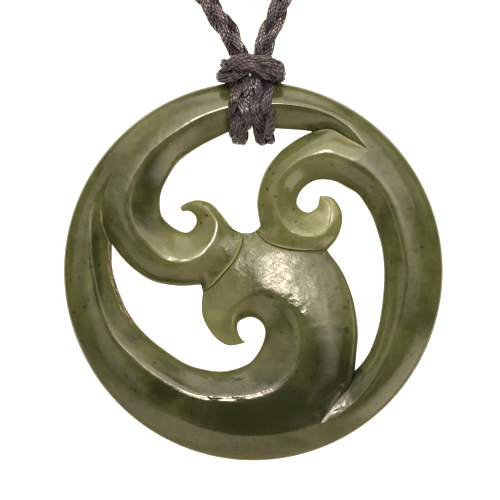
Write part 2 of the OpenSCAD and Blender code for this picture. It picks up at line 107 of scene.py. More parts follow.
class Socket:
    """A shader output that takes part in sums and products."""

    def __init__(self, bench: "Bench", out: bpy.types.NodeSocket) -> None:
        """Wraps an output socket of a material's bench."""
        self.bench = bench
        self.out = out

    def _math(self, operation: str, *values: Any) -> "Socket":
        """Adds one Math node to the expression."""
        return self.bench.add("ShaderNodeMath", {"operation": operation}, dict(enumerate(values)))

    def __add__(self, other: Any) -> "Socket":
        """Sum."""
        return self._math("ADD", self, other)

    __radd__ = __add__

    def __sub__(self, other: Any) -> "Socket":
        """Difference."""
        return self._math("SUBTRACT", self, other)

    def __rsub__(self, other: Any) -> "Socket":
        """Difference from a number."""
        return self._math("SUBTRACT", other, self)

    def __mul__(self, other: Any) -> "Socket":
        """Product."""
        return self._math("MULTIPLY", self, other)

    __rmul__ = __mul__

    def clamp(self) -> "Socket":
        """This value kept between 0 and 1."""
        return self.bench.add("ShaderNodeClamp", {}, {"Value": self})

    def ramp(self, low: float, high: float) -> "Socket":
        """Rises smoothly from 0 at low to 1 at high.

        Args:
            low: the value below which the result is 0.
            high: the value above which the result is 1.

        Returns:
            The eased share between the two.
        """
        return self.bench.add(
            "ShaderNodeMapRange",
            {"interpolation_type": "SMOOTHSTEP"},
            {"Value": self, "From Min": low, "From Max": high},
        )


class Bench:
    """A material's node tree, with one way to add any node."""

    def __init__(self, name: str) -> None:
        """Starts an empty material of that name."""
        self.material = bpy.data.materials.new(name)
        self.material.use_nodes = True
        self.tree = self.material.node_tree
        self.tree.nodes.clear()

    def add(
        self,
        kind: str,
        settings: dict[str, Any] | None = None,
        inputs: dict[Any, Any] | None = None,
        out: int | str = 0,
    ) -> Socket:
        """Adds a node, sets it up and joins what feeds it.

        Args:
            kind: the node's type.
            settings: properties of the node, set first.
            inputs: values or links for its sockets, by name or number.
            out: the output to hand back.

        Returns:
            The chosen output, wrapped for expressions.
        """
        node = self.tree.nodes.new(kind)
        for key, value in (settings or {}).items():
            setattr(node, key, value)
        for key, value in (inputs or {}).items():
            socket = node.inputs[key]
            if isinstance(value, Socket):
                self.tree.links.new(value.out, socket)
            else:
                socket.default_value = value
        return Socket(self, node.outputs[out]) if node.outputs else Socket(self, None)

    def attribute(self, name: str) -> Socket:
        """A number stored on the piece's vertices."""
        return self.add("ShaderNodeAttribute", {"attribute_name": name}, out="Fac")

    def place(self) -> Socket:
        """The point's place in the row frame, in metres."""
        return self.add("ShaderNodeTexCoord", out="Object")

    def moved(
        self, vector: Any, centre: Sequence[float], size: Sequence[float], turn: float = 0.0
    ) -> Socket:
        """A pattern's coordinates, centred, turned about the line of sight and then stretched.

        Args:
            vector: the coordinates to start from.
            centre: where the pattern's own origin lies.
            size: what counts as 1 along each of the turned axes.
            turn: turn about Y in degrees.

        Returns:
            The pattern's coordinates.
        """
        return self.add(
            "ShaderNodeMapping",
            {"vector_type": "TEXTURE"},
            {
                "Vector": vector,
                "Location": tuple(centre),
                "Rotation": (0.0, math.radians(turn), 0.0),
                "Scale": tuple(size),
            },
        )

    def noise(
        self,
        vector: Socket,
        scale: float,
        detail: float = 3.0,
        rough: float = 0.5,
        warp: float = 0.0,
    ) -> Socket:
        """Cloudy noise.

        Args:
            vector: the pattern's coordinates.
            scale: how many clouds there are to one unit.
            detail: octaves of finer clouds.
            rough: how strong each finer octave is.
            warp: how far the clouds are bent.

        Returns:
            The noise, from 0 to 1.
        """
        return self.add(
            "ShaderNodeTexNoise",
            {},
            {
                "Vector": vector,
                "Scale": scale,
                "Detail": detail,
                "Roughness": rough,
                "Distortion": warp,
            },
        )

    def blend(self, share: Any, first: Any, second: Any) -> Socket:
        """Mixes two colours."""
        return self.add(
            "ShaderNodeMix", {"data_type": "RGBA"}, {0: share, 6: first, 7: second}, out=2
        )

    def bump(
        self, height: Socket, strength: float, distance: float, normal: Socket | None = None
    ) -> Socket:
        """A normal tilted by a height pattern, on top of another one where it is given.

        Args:
            height: the pattern.
            strength: the share of the tilt that counts.
            distance: what a height of 1 stands for, in metres.
            normal: the normal to start from.

        Returns:
            The tilted normal.
        """
        inputs = {"Height": height, "Strength": strength, "Distance": distance}
        if normal is not None:
            inputs["Normal"] = normal
        return self.add("ShaderNodeBump", {}, inputs)

    def finish(self, inputs: dict[str, Any]) -> bpy.types.Material:
        """Closes the material with a Principled shader.

        Args:
            inputs: the shader's sockets.

        Returns:
            The material.
        """
        shader = self.add("ShaderNodeBsdfPrincipled", {"subsurface_method": "RANDOM_WALK"}, inputs)
        self.add("ShaderNodeOutputMaterial", {}, {"Surface": shader})
        return self.material


def colour(red: float, green: float, blue: float) -> tuple[float, float, float, float]:
    """An opaque linear colour."""
    return (red, green, blue, 1.0)


class Spline:
    """A smooth curve through a table's rows, whose first column is the station."""

    def __init__(self, rows: Rows) -> None:
        """Works out the slope at each row."""
        self.rows = np.array(rows, float)
        count = len(self.rows)
        before = np.maximum(np.arange(count) - 1, 0)
        after = np.minimum(np.arange(count) + 1, count - 1)
        self.slopes = (self.rows[after] - self.rows[before]) / (
            self.rows[after, :1] - self.rows[before, :1]
        )

    def at(self, station: np.ndarray) -> np.ndarray:
        """The table's columns, without the station, at each station.

        Args:
            station: one or more stations.

        Returns:
            A row of columns for each.
        """
        keys = self.rows[:, 0]
        index = np.clip(np.searchsorted(keys, station, side="right") - 1, 0, len(keys) - 2)
        wide = (keys[index + 1] - keys[index])[:, None]
        share = (station[:, None] - keys[index][:, None]) / wide
        square = share * share
        found = (
            self.rows[index] * (1 + square * (2 * share - 3))
            + self.slopes[index] * wide * share * (1 + share * (share - 2))
            + self.rows[index + 1] * square * (3 - 2 * share)
            + self.slopes[index + 1] * wide * square * (share - 1)
        )
        return found[:, 1:]


def mix(first: Any, second: Any, share: Any) -> Any:
    """The first at share 0, the second at share 1."""
    return first * (1 - share) + second * share


def ease(values: np.ndarray) -> np.ndarray:
    """Clamps to 0 to 1 and smooths both ends."""
    held = np.clip(values, 0.0, 1.0)
    return held * held * (3 - 2 * held)


@dataclass(frozen=True)
class RingFace:
    """The ring's swelling front face, a surface of revolution, in millimetres."""

    radius: float = 27.5
    thickness: float = 5.6
    rim_edge: float = 1.3
    reach: float = 9.0

    def height(self, depth: np.ndarray) -> np.ndarray:
        """Height above the flat back at a distance in from the rim."""
        left = 1 - np.clip(depth / self.reach, 0.0, 1.0)
        return self.rim_edge + (self.thickness - self.rim_edge) * np.sqrt(1 - left * left)

    def depth(self, points: np.ndarray) -> np.ndarray:
        """Distance in from the rim of points whose first columns are x and z."""
        return self.radius - np.hypot(points[..., 0], points[..., 1])

    def rim(self, first: float, last: float, share: np.ndarray) -> np.ndarray:
        """The rim between two angles in degrees: x, z, height."""
        angle = np.radians(mix(first, last, share))
        edge = np.full_like(angle, self.rim_edge)
        return np.stack([self.radius * np.cos(angle), self.radius * np.sin(angle), edge], 1)


FACE = RingFace()


@dataclass
class Seam:
    """The line by which a frond leaves the rim and parts from the frond before it."""

    leaves_at: float
    apex: tuple[float, float]
    valley: Rows
    cut_end: float = 6.0
    end: float = 10.0

    def cut(self, station: np.ndarray) -> np.ndarray:
        """The stretch on the ring's face: x, z, height."""
        share = station / self.cut_end
        turn = (math.degrees(math.atan2(self.apex[1], self.apex[0])) - self.leaves_at) % 360.0
        reach = FACE.radius - math.hypot(*self.apex)
        depth = reach * share * share
        angle = np.radians(self.leaves_at + turn * share)
        across = FACE.radius - depth
        return np.stack([across * np.cos(angle), across * np.sin(angle), FACE.height(depth)], 1)

    def at(self, station: np.ndarray) -> np.ndarray:
        """The whole seam: x, z, the low side's height and the high side's.

        Args:
            station: stations counted from where the frond leaves the rim.

        Returns:
            Four columns for each station.
        """
        cut = self.cut(np.minimum(station, self.cut_end))
        top = self.cut(np.array([self.cut_end]))[0]
        start = (self.cut_end, top[0], top[1], top[2], top[2])
        valley = Spline([start, *self.valley]).at(np.maximum(station, self.cut_end))
        on_ring = np.column_stack([cut, cut[:, 2]])
        return np.where((station <= self.cut_end)[:, None], on_ring, valley)


@dataclass
class Step:
    """The small wall where one frond stands above another, kept as its line and both heights."""

    rows: Rows

    def at(self, station: np.ndarray) -> np.ndarray:
        """x, z, the low side's height and the high side's."""
        return Spline(self.rows).at(station)


class Kind(IntEnum):
    """What an edge stretch is: the last two are shared with another frond."""

    RIM = 0
    OPEN = 1
    HIGH = 2
    LOW = 3


@dataclass
class Stretch:
    """A frond's outer edge between two stations."""

    first: float
    last: float
    kind: Kind
    line: Any
    shift: float = 0.0
    turned: bool = False

    def covers(self, station: np.ndarray) -> np.ndarray:
        """Whether each station lies on the stretch, both ends with it."""
        return (station >= self.first - 1e-9) & (station <= self.last + 1e-9)

    def at(self, station: np.ndarray, open_height: np.ndarray) -> np.ndarray:
        """The edge and, where another frond lies beyond it, that frond's surface.

        Args:
            station: stations along the frond.
            open_height: the edge's height where it stands over an opening.

        Returns:
            x, z, height, the low side's height and the wall between the low and high side.
        """
        none = np.zeros((len(station), 2))
        if self.kind is Kind.RIM:
            share = (station - self.first) / (self.last - self.first)
            return np.column_stack([FACE.rim(*self.line, share), none])
        if self.kind is Kind.OPEN:
            return np.column_stack([Spline(self.line).at(station), open_height, none])
        found = self.line.at(self.shift - station if self.turned else station - self.shift)
        height = found[:, 3] if self.kind is Kind.HIGH else found[:, 2]
        return np.column_stack([found[:, :2], height, found[:, 2], found[:, 3] - found[:, 2]])


@dataclass
class Frond:
    """One carved frond: a strip from its outer edge over its crest to its inner edge."""

    seam: Seam
    ring_end: float
    last: float
    stretches: list[Stretch]
    crest: Rows
    crest_height: Rows
    inner: Rows
    shoulder: Rows = ((0.0, 1.6), (1.0, 1.6))
    gap_edge: float = 2.3
    tip_edge: float = 2.0
    ring_fade: float = 6.0
    inner_round: float = 1.2
    carries_rind: bool = False

    def edge_height(self, station: np.ndarray) -> np.ndarray:
        """Height of the edges over the openings, which thin towards the tip."""
        return mix(self.gap_edge, self.tip_edge, np.clip((station - self.last + 4) / 4, 0, 1))

    def outer_edge(self, station: np.ndarray) -> tuple[np.ndarray, np.ndarray]:
        """The outer edge.

        Args:
            station: stations along the frond.

        Returns:
            The stretches' columns for each station, and the kind of edge there. Where two
            stretches meet, the one shared with another frond counts.
        """
        found = np.zeros((len(station), 5))
        kind = np.zeros(len(station), int)
        height = self.edge_height(station)
        for stretch in sorted(self.stretches, key=lambda one: one.kind >= Kind.HIGH):
            here = stretch.covers(station)
            found[here] = stretch.at(station[here], height[here])
            kind[here] = stretch.kind
        return found, kind

    def on_ring(self, station: np.ndarray) -> np.ndarray:
        """1 where the section still lies on the ring's own face, 0 where it has left it."""
        return 1 - np.clip((station - self.ring_end) / self.ring_fade, 0, 1)

    def shoulder_power(self, station: np.ndarray) -> np.ndarray:
        """How full the outer slope's shoulder is: 1 is straight, more is fuller."""
        keys, powers = np.array(self.shoulder).T
        return np.interp(station, keys, powers)

    def crest_line(self, station: np.ndarray) -> np.ndarray:
        """The crest: x, z, height."""
        top = self.seam.cut(np.array([self.seam.cut_end]))[0]
        places = Spline([(self.seam.cut_end, top[0], top[1]), *self.crest]).at(station)
        height = Spline(self.crest_height).at(station)[:, 0]
        mixed = mix(height, FACE.height(FACE.depth(places)), self.on_ring(station))
        cut = self.seam.at(np.minimum(station, self.seam.cut_end))[:, :3]
        free = np.column_stack([places, mixed])
        return np.where((station <= self.seam.cut_end)[:, None], cut, free)

    def inner_edge(self, station: np.ndarray) -> np.ndarray:
        """The inner edge: x, z, height and the wall that stands beyond it."""
        valley = self.seam.at(np.minimum(station, self.seam.end))
        valley = np.column_stack([valley[:, :3], valley[:, 3] - valley[:, 2]])
        places = Spline(self.inner).at(station)
        free = np.column_stack([places, self.edge_height(station), np.zeros(len(station))])
        return np.where((station < self.seam.end)[:, None], valley, free)


def nearness(station: np.ndarray, flag: np.ndarray, reach: float) -> np.ndarray:
    """How near each station is to a flagged one: 1 on it, 0 from reach on.

    Args:
        station: evenly spaced stations.
        flag: which are flagged.
        reach: distance in stations.

    Returns:
        A share for each station.
    """
    if not flag.any():
        return np.zeros_like(station)
    distance = np.abs(station[:, None] - station[flag][None, :]).min(1)
    return 1 - ease(distance / reach)


@dataclass
class CarvedStone:
    """The carved disc: three fronds, one stone."""

    row_step: float = 0.125
    back_round: float = 0.55
    edge_round: float = 0.16
    lip_round: float = 0.4
    groove_width: float = 0.14
    groove_share: float = 0.3
    crest_round: float = 0.34
    ridge_share: float = 0.42
    edge_reach: float = 2.2
    soften_from: float = 0.25
    soften_over: float = 0.6
    merge: float = 1e-6
    fade: float = 0.6
    far: float = 9.0
    thin_reach: float = 1.5
    lip_width: float = 0.25
    crest_width: float = 0.2
    least_wall: float = 0.3
    crease: float = 58.0
    outer_places: tuple[float, ...] = (
        0.0, 0.004, 0.014, 0.032, 0.06, 0.1, 0.15, 0.22, 0.3, 0.39,
        0.49, 0.59, 0.69, 0.78, 0.86, 0.92, 0.96, 0.985, 1.0,
    )
    inner_places: tuple[float, ...] = (
        0.975, 0.93, 0.86, 0.76, 0.65, 0.53, 0.41, 0.3, 0.2, 0.12, 0.06, 0.025, 0.0,
    )
    arc: tuple[float, ...] = (90.0, 60.0, 30.0, 0.0)

    def fronds(self) -> list[Frond]:
        """The three fronds, which share their seams and steps."""
        seams = self._seams()
        left_step = Step([
            (35, -7.3, -3.1, 2.3, 2.3), (35.5, -6.1, -2.2, 2.8, 3.1), (36.3, -4.7, -0.7, 3.4, 3.8),
            (37.4, -2.7, 1.7, 3.6, 4.0), (38.5, -1.6, 4.3, 3.0, 3.3), (39, -1.6, 5.5, 2.3, 2.3)])
        right_step = Step([
            (38, 0.3, 5.8, 2.3, 2.3), (38.6, 1.3, 4.8, 3.0, 3.3), (39.2, 2.4, 4.0, 3.5, 3.8),
            (40, 4.7, 3.3, 3.7, 4.1), (41, 7.5, 3.0, 3.3, 3.6), (42, 10.7, 3.0, 2.3, 2.3)])
        return [
            self._left_frond(seams, left_step),
            self._body_frond(seams, left_step, right_step),
            self._right_frond(seams, right_step),
        ]

    @staticmethod
    def _seams() -> list[Seam]:
        """The seams of the left frond, the body and the right frond."""
        return [
            Seam(14, (16.5, 17.6), [
                (7.4, 13.8, 19.1, 3.5, 4.0), (8.8, 11.1, 20.5, 2.7, 3.4),
                (10, 8.6, 20.2, 2.3, 2.3)]),
            Seam(112, (-20.0, 14.9), [
                (7, -21.3, 12.0, 4.2, 4.2), (8, -21.7, 9.5, 3.8, 3.8), (9, -21.6, 6.5, 3.0, 3.0),
                (10, -20.5, 3.9, 2.3, 2.3)]),
            Seam(260, (9.6, -22.1), [
                (7, 11.2, -19.8, 4.3, 4.3), (8, 12.6, -18.1, 3.9, 3.9), (9, 13.8, -16.5, 3.2, 3.2),
                (10, 14.7, -14.5, 2.3, 2.3)]),
        ]

    @staticmethod
    def _left_frond(seams: list[Seam], step: Step) -> Frond:
        """The frond that runs over the top and down the left, and stands above the body."""
        return Frond(
            seam=seams[0], ring_end=24, last=46,
            shoulder=[(24, 1.6), (33, 1.6), (36, 1.25), (38, 1.25), (40, 1.6)],
            stretches=[
                Stretch(0, 18, Kind.RIM, (14, 112)),
                Stretch(18, 28, Kind.HIGH, seams[1], shift=18),
                Stretch(28, 34, Kind.OPEN, [
                    (28, -20.5, 3.9), (29.3, -19.0, 1.9), (30.3, -17.4, 0.3), (31.5, -15.2, -1.2),
                    (32.5, -13.1, -1.9), (33.3, -10.3, -2.2), (34, -7.5, -2.0)]),
                Stretch(34, 35, Kind.OPEN, [(34, -7.5, -2.0), (35, -7.3, -3.1)]),
                Stretch(35, 39, Kind.HIGH, step),
                Stretch(39, 46, Kind.OPEN, [
                    (39, -1.6, 5.5), (39.7, -2.7, 6.0), (40.4, -3.7, 7.1), (41.3, -4.7, 8.4),
                    (42.3, -6.1, 9.8), (43.3, -7.9, 10.3), (44.3, -9.4, 10.0), (45.2, -10.5, 9.3),
                    (46, -10.3, 8.6)]),
            ],
            crest=[
                (7.5, 14.3, 20.4), (8.8, 11.8, 22.2), (10.2, 8.8, 23.4), (12, 4.6, 24.1),
                (14, -0.2, 24.0), (15.4, -3.2, 23.7), (16.9, -6.6, 22.6), (18.1, -9.0, 21.4),
                (20.5, -13.2, 18.5), (22, -15.3, 16.5), (24, -17.3, 13.0), (26, -18.1, 9.8),
                (28, -17.1, 6.2), (30, -15.3, 4.0), (32, -13.0, 2.0), (33.5, -10.5, 1.4),
                (35, -8.2, 2.0), (36.5, -6.7, 3.2), (38, -5.6, 4.9), (39.5, -5.3, 7.0),
                (41, -6.0, 8.3), (42.5, -7.1, 9.2), (44, -8.5, 9.6), (45, -9.4, 9.4),
                (46, -10.3, 8.6)],
            crest_height=[
                (20, 5.3), (28, 5.4), (33, 5.2), (37, 4.8), (41, 3.9), (44, 3.1), (46, 2.0)],
            inner=[
                (10, 8.6, 20.2), (11, 6.8, 20.4), (12.4, 3.6, 20.6), (14, -0.2, 21.0),
                (14.8, -2.1, 20.7), (15.6, -3.8, 20.0), (17.7, -7.6, 18.1), (19.6, -10.5, 16.1),
                (21, -11.9, 14.3), (23, -13.1, 12.0), (24.8, -13.5, 10.3), (27, -13.3, 8.2),
                (29, -12.3, 6.9), (31.5, -11.0, 6.0), (34, -9.7, 5.6), (36, -8.8, 6.1),
                (37.7, -8.3, 6.9), (39.8, -8.3, 7.7), (42, -8.7, 8.3), (44.2, -9.4, 8.7),
                (46, -10.3, 8.6)],
        )

    @staticmethod
    def _body_frond(seams: list[Seam], left_step: Step, right_step: Step) -> Frond:
        """The large frond that runs down the left and fills the middle."""
        return Frond(
            seam=seams[1], ring_end=33, last=58, carries_rind=True,
            shoulder=[(33, 3.2), (37, 2.6), (40, 1.8), (43, 1.3), (51, 1.25), (54, 1.5)],
            stretches=[
                Stretch(0, 27, Kind.RIM, (112, 260)),
                Stretch(27, 37, Kind.HIGH, seams[2], shift=27),
                Stretch(37, 43, Kind.OPEN, [
                    (37, 14.7, -14.5), (38, 15.0, -11.7), (39, 15.2, -9.1), (40, 14.9, -6.1),
                    (41, 14.2, -3.2), (42, 12.8, 0.1), (43, 10.7, 3.0)]),
                Stretch(43, 47, Kind.LOW, right_step, shift=85, turned=True),
                Stretch(47, 48, Kind.OPEN, [(47, 0.3, 5.8), (47.5, -0.6, 5.5), (48, -1.6, 5.5)]),
                Stretch(48, 52, Kind.LOW, left_step, shift=87, turned=True),
                Stretch(52, 58, Kind.OPEN, [
                    (52, -7.3, -3.1), (53, -7.5, -4.9), (54, -7.3, -6.7), (55, -6.4, -8.5),
                    (56, -5.1, -10.0), (57, -3.4, -10.8), (58, -1.1, -10.4)]),
            ],
            crest=[
                (7.05, -21.5, 12.9), (8.3, -23.0, 10.3), (9.3, -23.5, 8.0), (10.7, -23.6, 4.6),
                (12, -23.4, 1.6), (14.7, -22.2, -4.5), (17, -20.4, -9.1), (19.1, -17.3, -12.5),
                (20.7, -14.8, -14.6), (23.4, -10.3, -17.3), (25.4, -6.7, -18.3),
                (27.9, -1.9, -18.3), (30.6, 2.4, -17.2), (33, 4.6, -15.6), (35, 5.9, -14.0),
                (37, 6.8, -12.0), (39, 7.0, -9.4), (41, 6.3, -6.4), (43, 4.7, -4.4),
                (45, 2.6, -3.3), (47, 0.8, -3.1), (49, -0.9, -3.8), (51, -2.3, -4.9),
                (53, -3.3, -6.4), (55, -3.4, -8.1), (56.6, -2.7, -9.5), (58, -1.1, -10.4)],
            crest_height=[
                (29, 5.5), (37, 5.5), (43, 5.2), (49, 4.6), (53, 3.8), (56, 2.9), (58, 2.0)],
            inner=[
                (10, -20.5, 3.9), (12, -20.4, 0.3), (13.8, -19.5, -2.9), (16, -17.8, -6.5),
                (18.4, -15.2, -9.5), (21, -12.0, -12.0), (23.5, -9.3, -13.6), (25.4, -6.7, -14.3),
                (27.2, -4.5, -14.5), (29.5, -2.4, -14.1), (32, -0.6, -13.3), (35, 0.5, -12.1),
                (37.7, 1.3, -10.6), (40.2, 1.7, -9.0), (42.7, 1.4, -7.8), (45.2, 0.6, -7.0),
                (47.5, -0.4, -6.7), (49.5, -1.3, -6.9), (51.5, -2.1, -7.4), (53.5, -2.3, -8.2),
                (55.4, -2.1, -9.1), (56.9, -1.7, -9.8), (58, -1.1, -10.4)],
        )

    @staticmethod
    def _right_frond(seams: list[Seam], step: Step) -> Frond:
        """The frond that runs up the right, and stands above the body."""
        return Frond(
            seam=seams[2], ring_end=27, last=48,
            shoulder=[(27, 1.8), (36, 1.6), (39, 1.25), (41, 1.25), (43, 1.6)],
            stretches=[
                Stretch(0, 21, Kind.RIM, (260, 374)),
                Stretch(21, 31, Kind.HIGH, seams[0], shift=21),
                Stretch(31, 37, Kind.OPEN, [
                    (31, 8.6, 20.2), (32, 6.3, 19.1), (33, 4.0, 17.4), (34, 2.1, 15.2),
                    (35, 1.0, 12.7), (36, 0.5, 10.1), (36.4, 0.6, 8.6), (37, 1.0, 6.3)]),
                Stretch(37, 38, Kind.OPEN, [(37, 1.0, 6.3), (38, 0.3, 5.8)]),
                Stretch(38, 42, Kind.HIGH, step),
                Stretch(42, 48, Kind.OPEN, [
                    (42, 10.7, 3.0), (43, 12.0, 4.5), (44, 12.7, 6.2), (45, 12.9, 8.0),
                    (46, 12.4, 9.5), (47, 11.3, 10.7), (48, 9.6, 10.9)]),
            ],
            crest=[
                (7.1, 12.0, -21.1), (8.4, 14.3, -19.4), (9.9, 16.6, -16.8), (11.9, 18.9, -12.9),
                (13.4, 20.2, -10.0), (15, 21.1, -6.5), (16.7, 21.8, -3.0), (18.4, 22.0, 0.4),
                (19.8, 21.6, 3.3), (21.4, 20.8, 6.5), (22.8, 19.9, 9.3), (24.2, 18.5, 11.9),
                (25.6, 16.6, 14.0), (27, 14.4, 15.4), (28.3, 12.5, 16.4), (29.7, 10.7, 16.7),
                (31, 8.9, 16.5), (32.5, 7.0, 15.8), (34, 5.2, 14.5), (35.5, 3.7, 12.6),
                (37, 3.1, 10.0), (38.5, 3.5, 8.0), (40, 4.6, 6.5), (41.5, 6.3, 5.4),
                (43, 8.3, 5.1), (44.3, 9.6, 5.4), (45.5, 10.7, 6.4), (46.5, 11.1, 8.2),
                (47.3, 11.0, 9.8), (48, 9.6, 10.9)],
            crest_height=[
                (22, 5.3), (30, 5.4), (36, 5.1), (41, 4.6), (45, 3.6), (47, 2.7), (48, 2.0)],
            inner=[
                (10, 14.7, -14.5), (11, 15.9, -13.1), (12.6, 17.1, -11.0), (14.6, 18.2, -7.5),
                (16.9, 18.8, -3.0), (18.6, 18.9, 0.4), (20, 18.6, 3.2), (21.4, 18.0, 5.5),
                (22.8, 17.2, 7.8), (24.2, 16.2, 9.6), (25.6, 15.1, 11.1), (27.2, 13.5, 12.1),
                (29.2, 11.7, 13.0), (31.4, 9.6, 13.2), (33.7, 8.0, 12.6), (35.8, 6.8, 11.4),
                (38, 6.3, 10.0), (40.5, 6.8, 9.0), (43, 7.8, 8.5), (44.8, 8.7, 8.8),
                (46.4, 9.4, 9.6), (48, 9.6, 10.9)],
        )

    def _back_height(self, places: np.ndarray) -> np.ndarray:
        """How far the rounded rim lifts the back at each place."""
        left = np.clip(self.back_round - FACE.depth(places), 0.0, self.back_round)
        return self.back_round - np.sqrt(self.back_round**2 - left**2)

    def _back_columns(
        self, edge: np.ndarray, crest: np.ndarray, wide: np.ndarray, rounding: np.ndarray
    ) -> list[np.ndarray]:
        """The soft corner between a wall and the flat back.

        Args:
            edge: the edge's x and z first.
            crest: the crest's x and z first.
            wide: distance between the two.
            rounding: the corner's radius over an opening, 0 elsewhere.

        Returns:
            One column of points for each angle round the corner.
        """
        way = (crest[:, :2] - edge[:, :2]) / np.maximum(wide, 1e-9)[:, None]
        local = np.minimum(rounding, 0.4 * wide)
        by_rim = np.clip(self.back_round - FACE.depth(edge), 0.0, self.back_round)
        reach = np.minimum(np.maximum(rounding, by_rim), 0.4 * wide)
        columns = []
        for degrees in self.arc:
            turn = math.radians(degrees)
            place = edge[:, :2] + way * (reach * (1 - math.cos(turn)))[:, None]
            height = np.maximum(self._back_height(place), local * (1 - math.sin(turn)))
            columns.append(np.column_stack([place, height]))
        return columns

    def section(
        self, frond: Frond, station: np.ndarray
    ) -> tuple[np.ndarray, dict[str, np.ndarray]]:
        """Every point of a frond, row by row round its section.

        Args:
            frond: the frond to lay out.
            station: a station for each row.

        Returns:
            The points by row and column, and the vertex values by name.
        """
        outer, kind = frond.outer_edge(station)
        inner = frond.inner_edge(station)
        crest = frond.crest_line(station)
        wide_out = np.linalg.norm(crest[:, :2] - outer[:, :2], axis=1)
        wide_in = np.linalg.norm(crest[:, :2] - inner[:, :2], axis=1)
        free_out = 1 - nearness(station, kind >= Kind.HIGH, self.fade)
        free_in = 1 - nearness(station, station <= frond.seam.end, self.fade)
        groove_out = self.groove_share * np.where(kind == Kind.LOW, outer[:, 4], 0.0)
        groove_in = self.groove_share * inner[:, 3]
        soft_out = np.minimum(0.5 * self.edge_round * free_out, 0.2 * wide_out)
        soft_out = np.where(kind == Kind.HIGH, self.lip_round * outer[:, 4], soft_out)
        soft_in = np.minimum(self.edge_round * free_in, 0.3 * wide_in)
        fall = (crest[:, 2] - inner[:, 2]) / np.maximum(wide_in, 0.3)
        ridge = self.ridge_share * fall * ease((station - frond.seam.cut_end) / 2)

        spine = np.column_stack([crest[:, :2], self._back_height(crest)])
        open_out = self.back_round * np.where(kind == Kind.OPEN, free_out, 0.0)
        back_out = self._back_columns(outer, crest, wide_out, open_out)
        back_in = self._back_columns(inner, crest, wide_in, self.back_round * free_in)
        low = outer[:, 3] - self.groove_share * outer[:, 4]
        foot = np.where(kind >= Kind.HIGH, low, back_out[-1][:, 2])
        columns = [spine, *back_out, np.column_stack([outer[:, :2], foot])]
        columns += [
            self._outer_slope(
                frond, station, outer, crest, share,
                self._soften(outer, crest, share, wide_out),
                (wide_out, soft_out, groove_out, ridge),
            )
            for share in self.outer_places
        ]
        columns += [
            self._inner_slope(frond, crest, inner, share, (wide_in, soft_in, groove_in, ridge))
            for share in self.inner_places
        ]
        columns += [*back_in[::-1], spine]
        points = np.stack(columns, 1)
        values = self._values(
            FACE.depth(points), frond.last - station, wide_out, wide_in, free_out, free_in
        )
        raised = np.clip(outer[:, 4] / self.least_wall, 0, 1) * (kind == Kind.HIGH)
        return points, values | self._lines(points, raised, wide_out, wide_in)

    def _lines(
        self, points: np.ndarray, raised: np.ndarray, wide_out: np.ndarray, wide_in: np.ndarray
    ) -> dict[str, np.ndarray]:
        """The lines along which the stone's material paints highlights: raised lips and the crest.

        Args:
            points: the frond's points by row and column.
            raised: 1 in the rows whose outer edge stands above another frond.
            wide_out: the outer slope's width.
            wide_in: the inner slope's width.

        Returns:
            A value for each point, by name.
        """
        head = 2 + len(self.arc)
        lip_highlight = np.zeros(points.shape[:2])
        crest = np.zeros(points.shape[:2])
        for number, share in enumerate(self.outer_places, head):
            lip_highlight[:, number] = raised * np.exp(-((share * wide_out / self.lip_width) ** 2))
            crest[:, number] = np.exp(-(((1 - share) * wide_out / self.crest_width) ** 2))
        for number, share in enumerate(self.inner_places, head + len(self.outer_places)):
            crest[:, number] = np.exp(-(((1 - share) * wide_in / self.crest_width) ** 2))
        return {"lip_highlight": lip_highlight, "crest": crest}

    def _values(
        self,
        from_rim: np.ndarray,
        to_tip: np.ndarray,
        wide_out: np.ndarray,
        wide_in: np.ndarray,
        free_out: np.ndarray,
        free_in: np.ndarray,
    ) -> dict[str, np.ndarray]:
        """The numbers that the stone's material reads: distances from the free edges and the tip.

        Args:
            from_rim: each point's distance in from the ring's rim.
            to_tip: stations left to the frond's tip, by row.
            wide_out: the outer slope's width.
            wide_in: the inner slope's width.
            free_out: how free the outer edge is, 0 where it is shared.
            free_in: how free the inner edge is.

        Returns:
            A value for each point, by name.
        """
        head = 2 + len(self.arc)
        crest_at = head + len(self.outer_places)
        from_outer = np.zeros_like(from_rim)
        from_inner = np.zeros_like(from_rim)
        for number, share in enumerate(self.outer_places):
            from_outer[:, head + number] = share * wide_out
            from_inner[:, head + number] = wide_in + (1 - share) * wide_out
        for number, share in enumerate(self.inner_places):
            from_outer[:, crest_at + number] = wide_out + (1 - share) * wide_in
            from_inner[:, crest_at + number] = share * wide_in
        back_at = crest_at + len(self.inner_places)
        from_inner[:, 1:head] = (wide_in + wide_out)[:, None]
        from_outer[:, back_at:-1] = (wide_in + wide_out)[:, None]
        from_outer[:, [0, -1]] = wide_out[:, None]
        from_inner[:, [0, -1]] = wide_in[:, None]
        from_outer += self.far * (1 - free_out)[:, None]
        inner_gap = np.minimum(from_inner, self.far)
        inner_gap[:, 1:crest_at] = self.far
        from_inner += self.far * (1 - free_in)[:, None]
        nearest = np.minimum(np.minimum(from_outer, from_inner), from_rim)
        return {
            "edge": np.exp(-nearest / self.thin_reach),
            "inner_gap": inner_gap,
            "from_inner": from_inner,
            "to_tip": np.tile(to_tip[:, None], (1, from_rim.shape[1])),
        }

    def _soften(
        self, outer: np.ndarray, crest: np.ndarray, share: float, wide: np.ndarray
    ) -> tuple[np.ndarray, np.ndarray]:
        """The climb and the edge's height as the whole edge sets them, so that corners fade out.

        Args:
            outer: the outer edge's x, z and height first.
            crest: the crest's x and z first.
            share: the share of the way from the edge to the crest.
            wide: the slope's width.

        Returns:
            A share of the climb and an edge height for each row.
        """
        place = mix(outer[:, :2], crest[:, :2], share)
        piece = np.linalg.norm(np.gradient(outer[:, :2], axis=0), axis=1)
        apart = np.linalg.norm(place[:, None, :] - outer[None, :, :2], axis=2)
        pulls = piece / np.maximum(apart, 0.05) ** 4
        pull = pulls.sum(1)
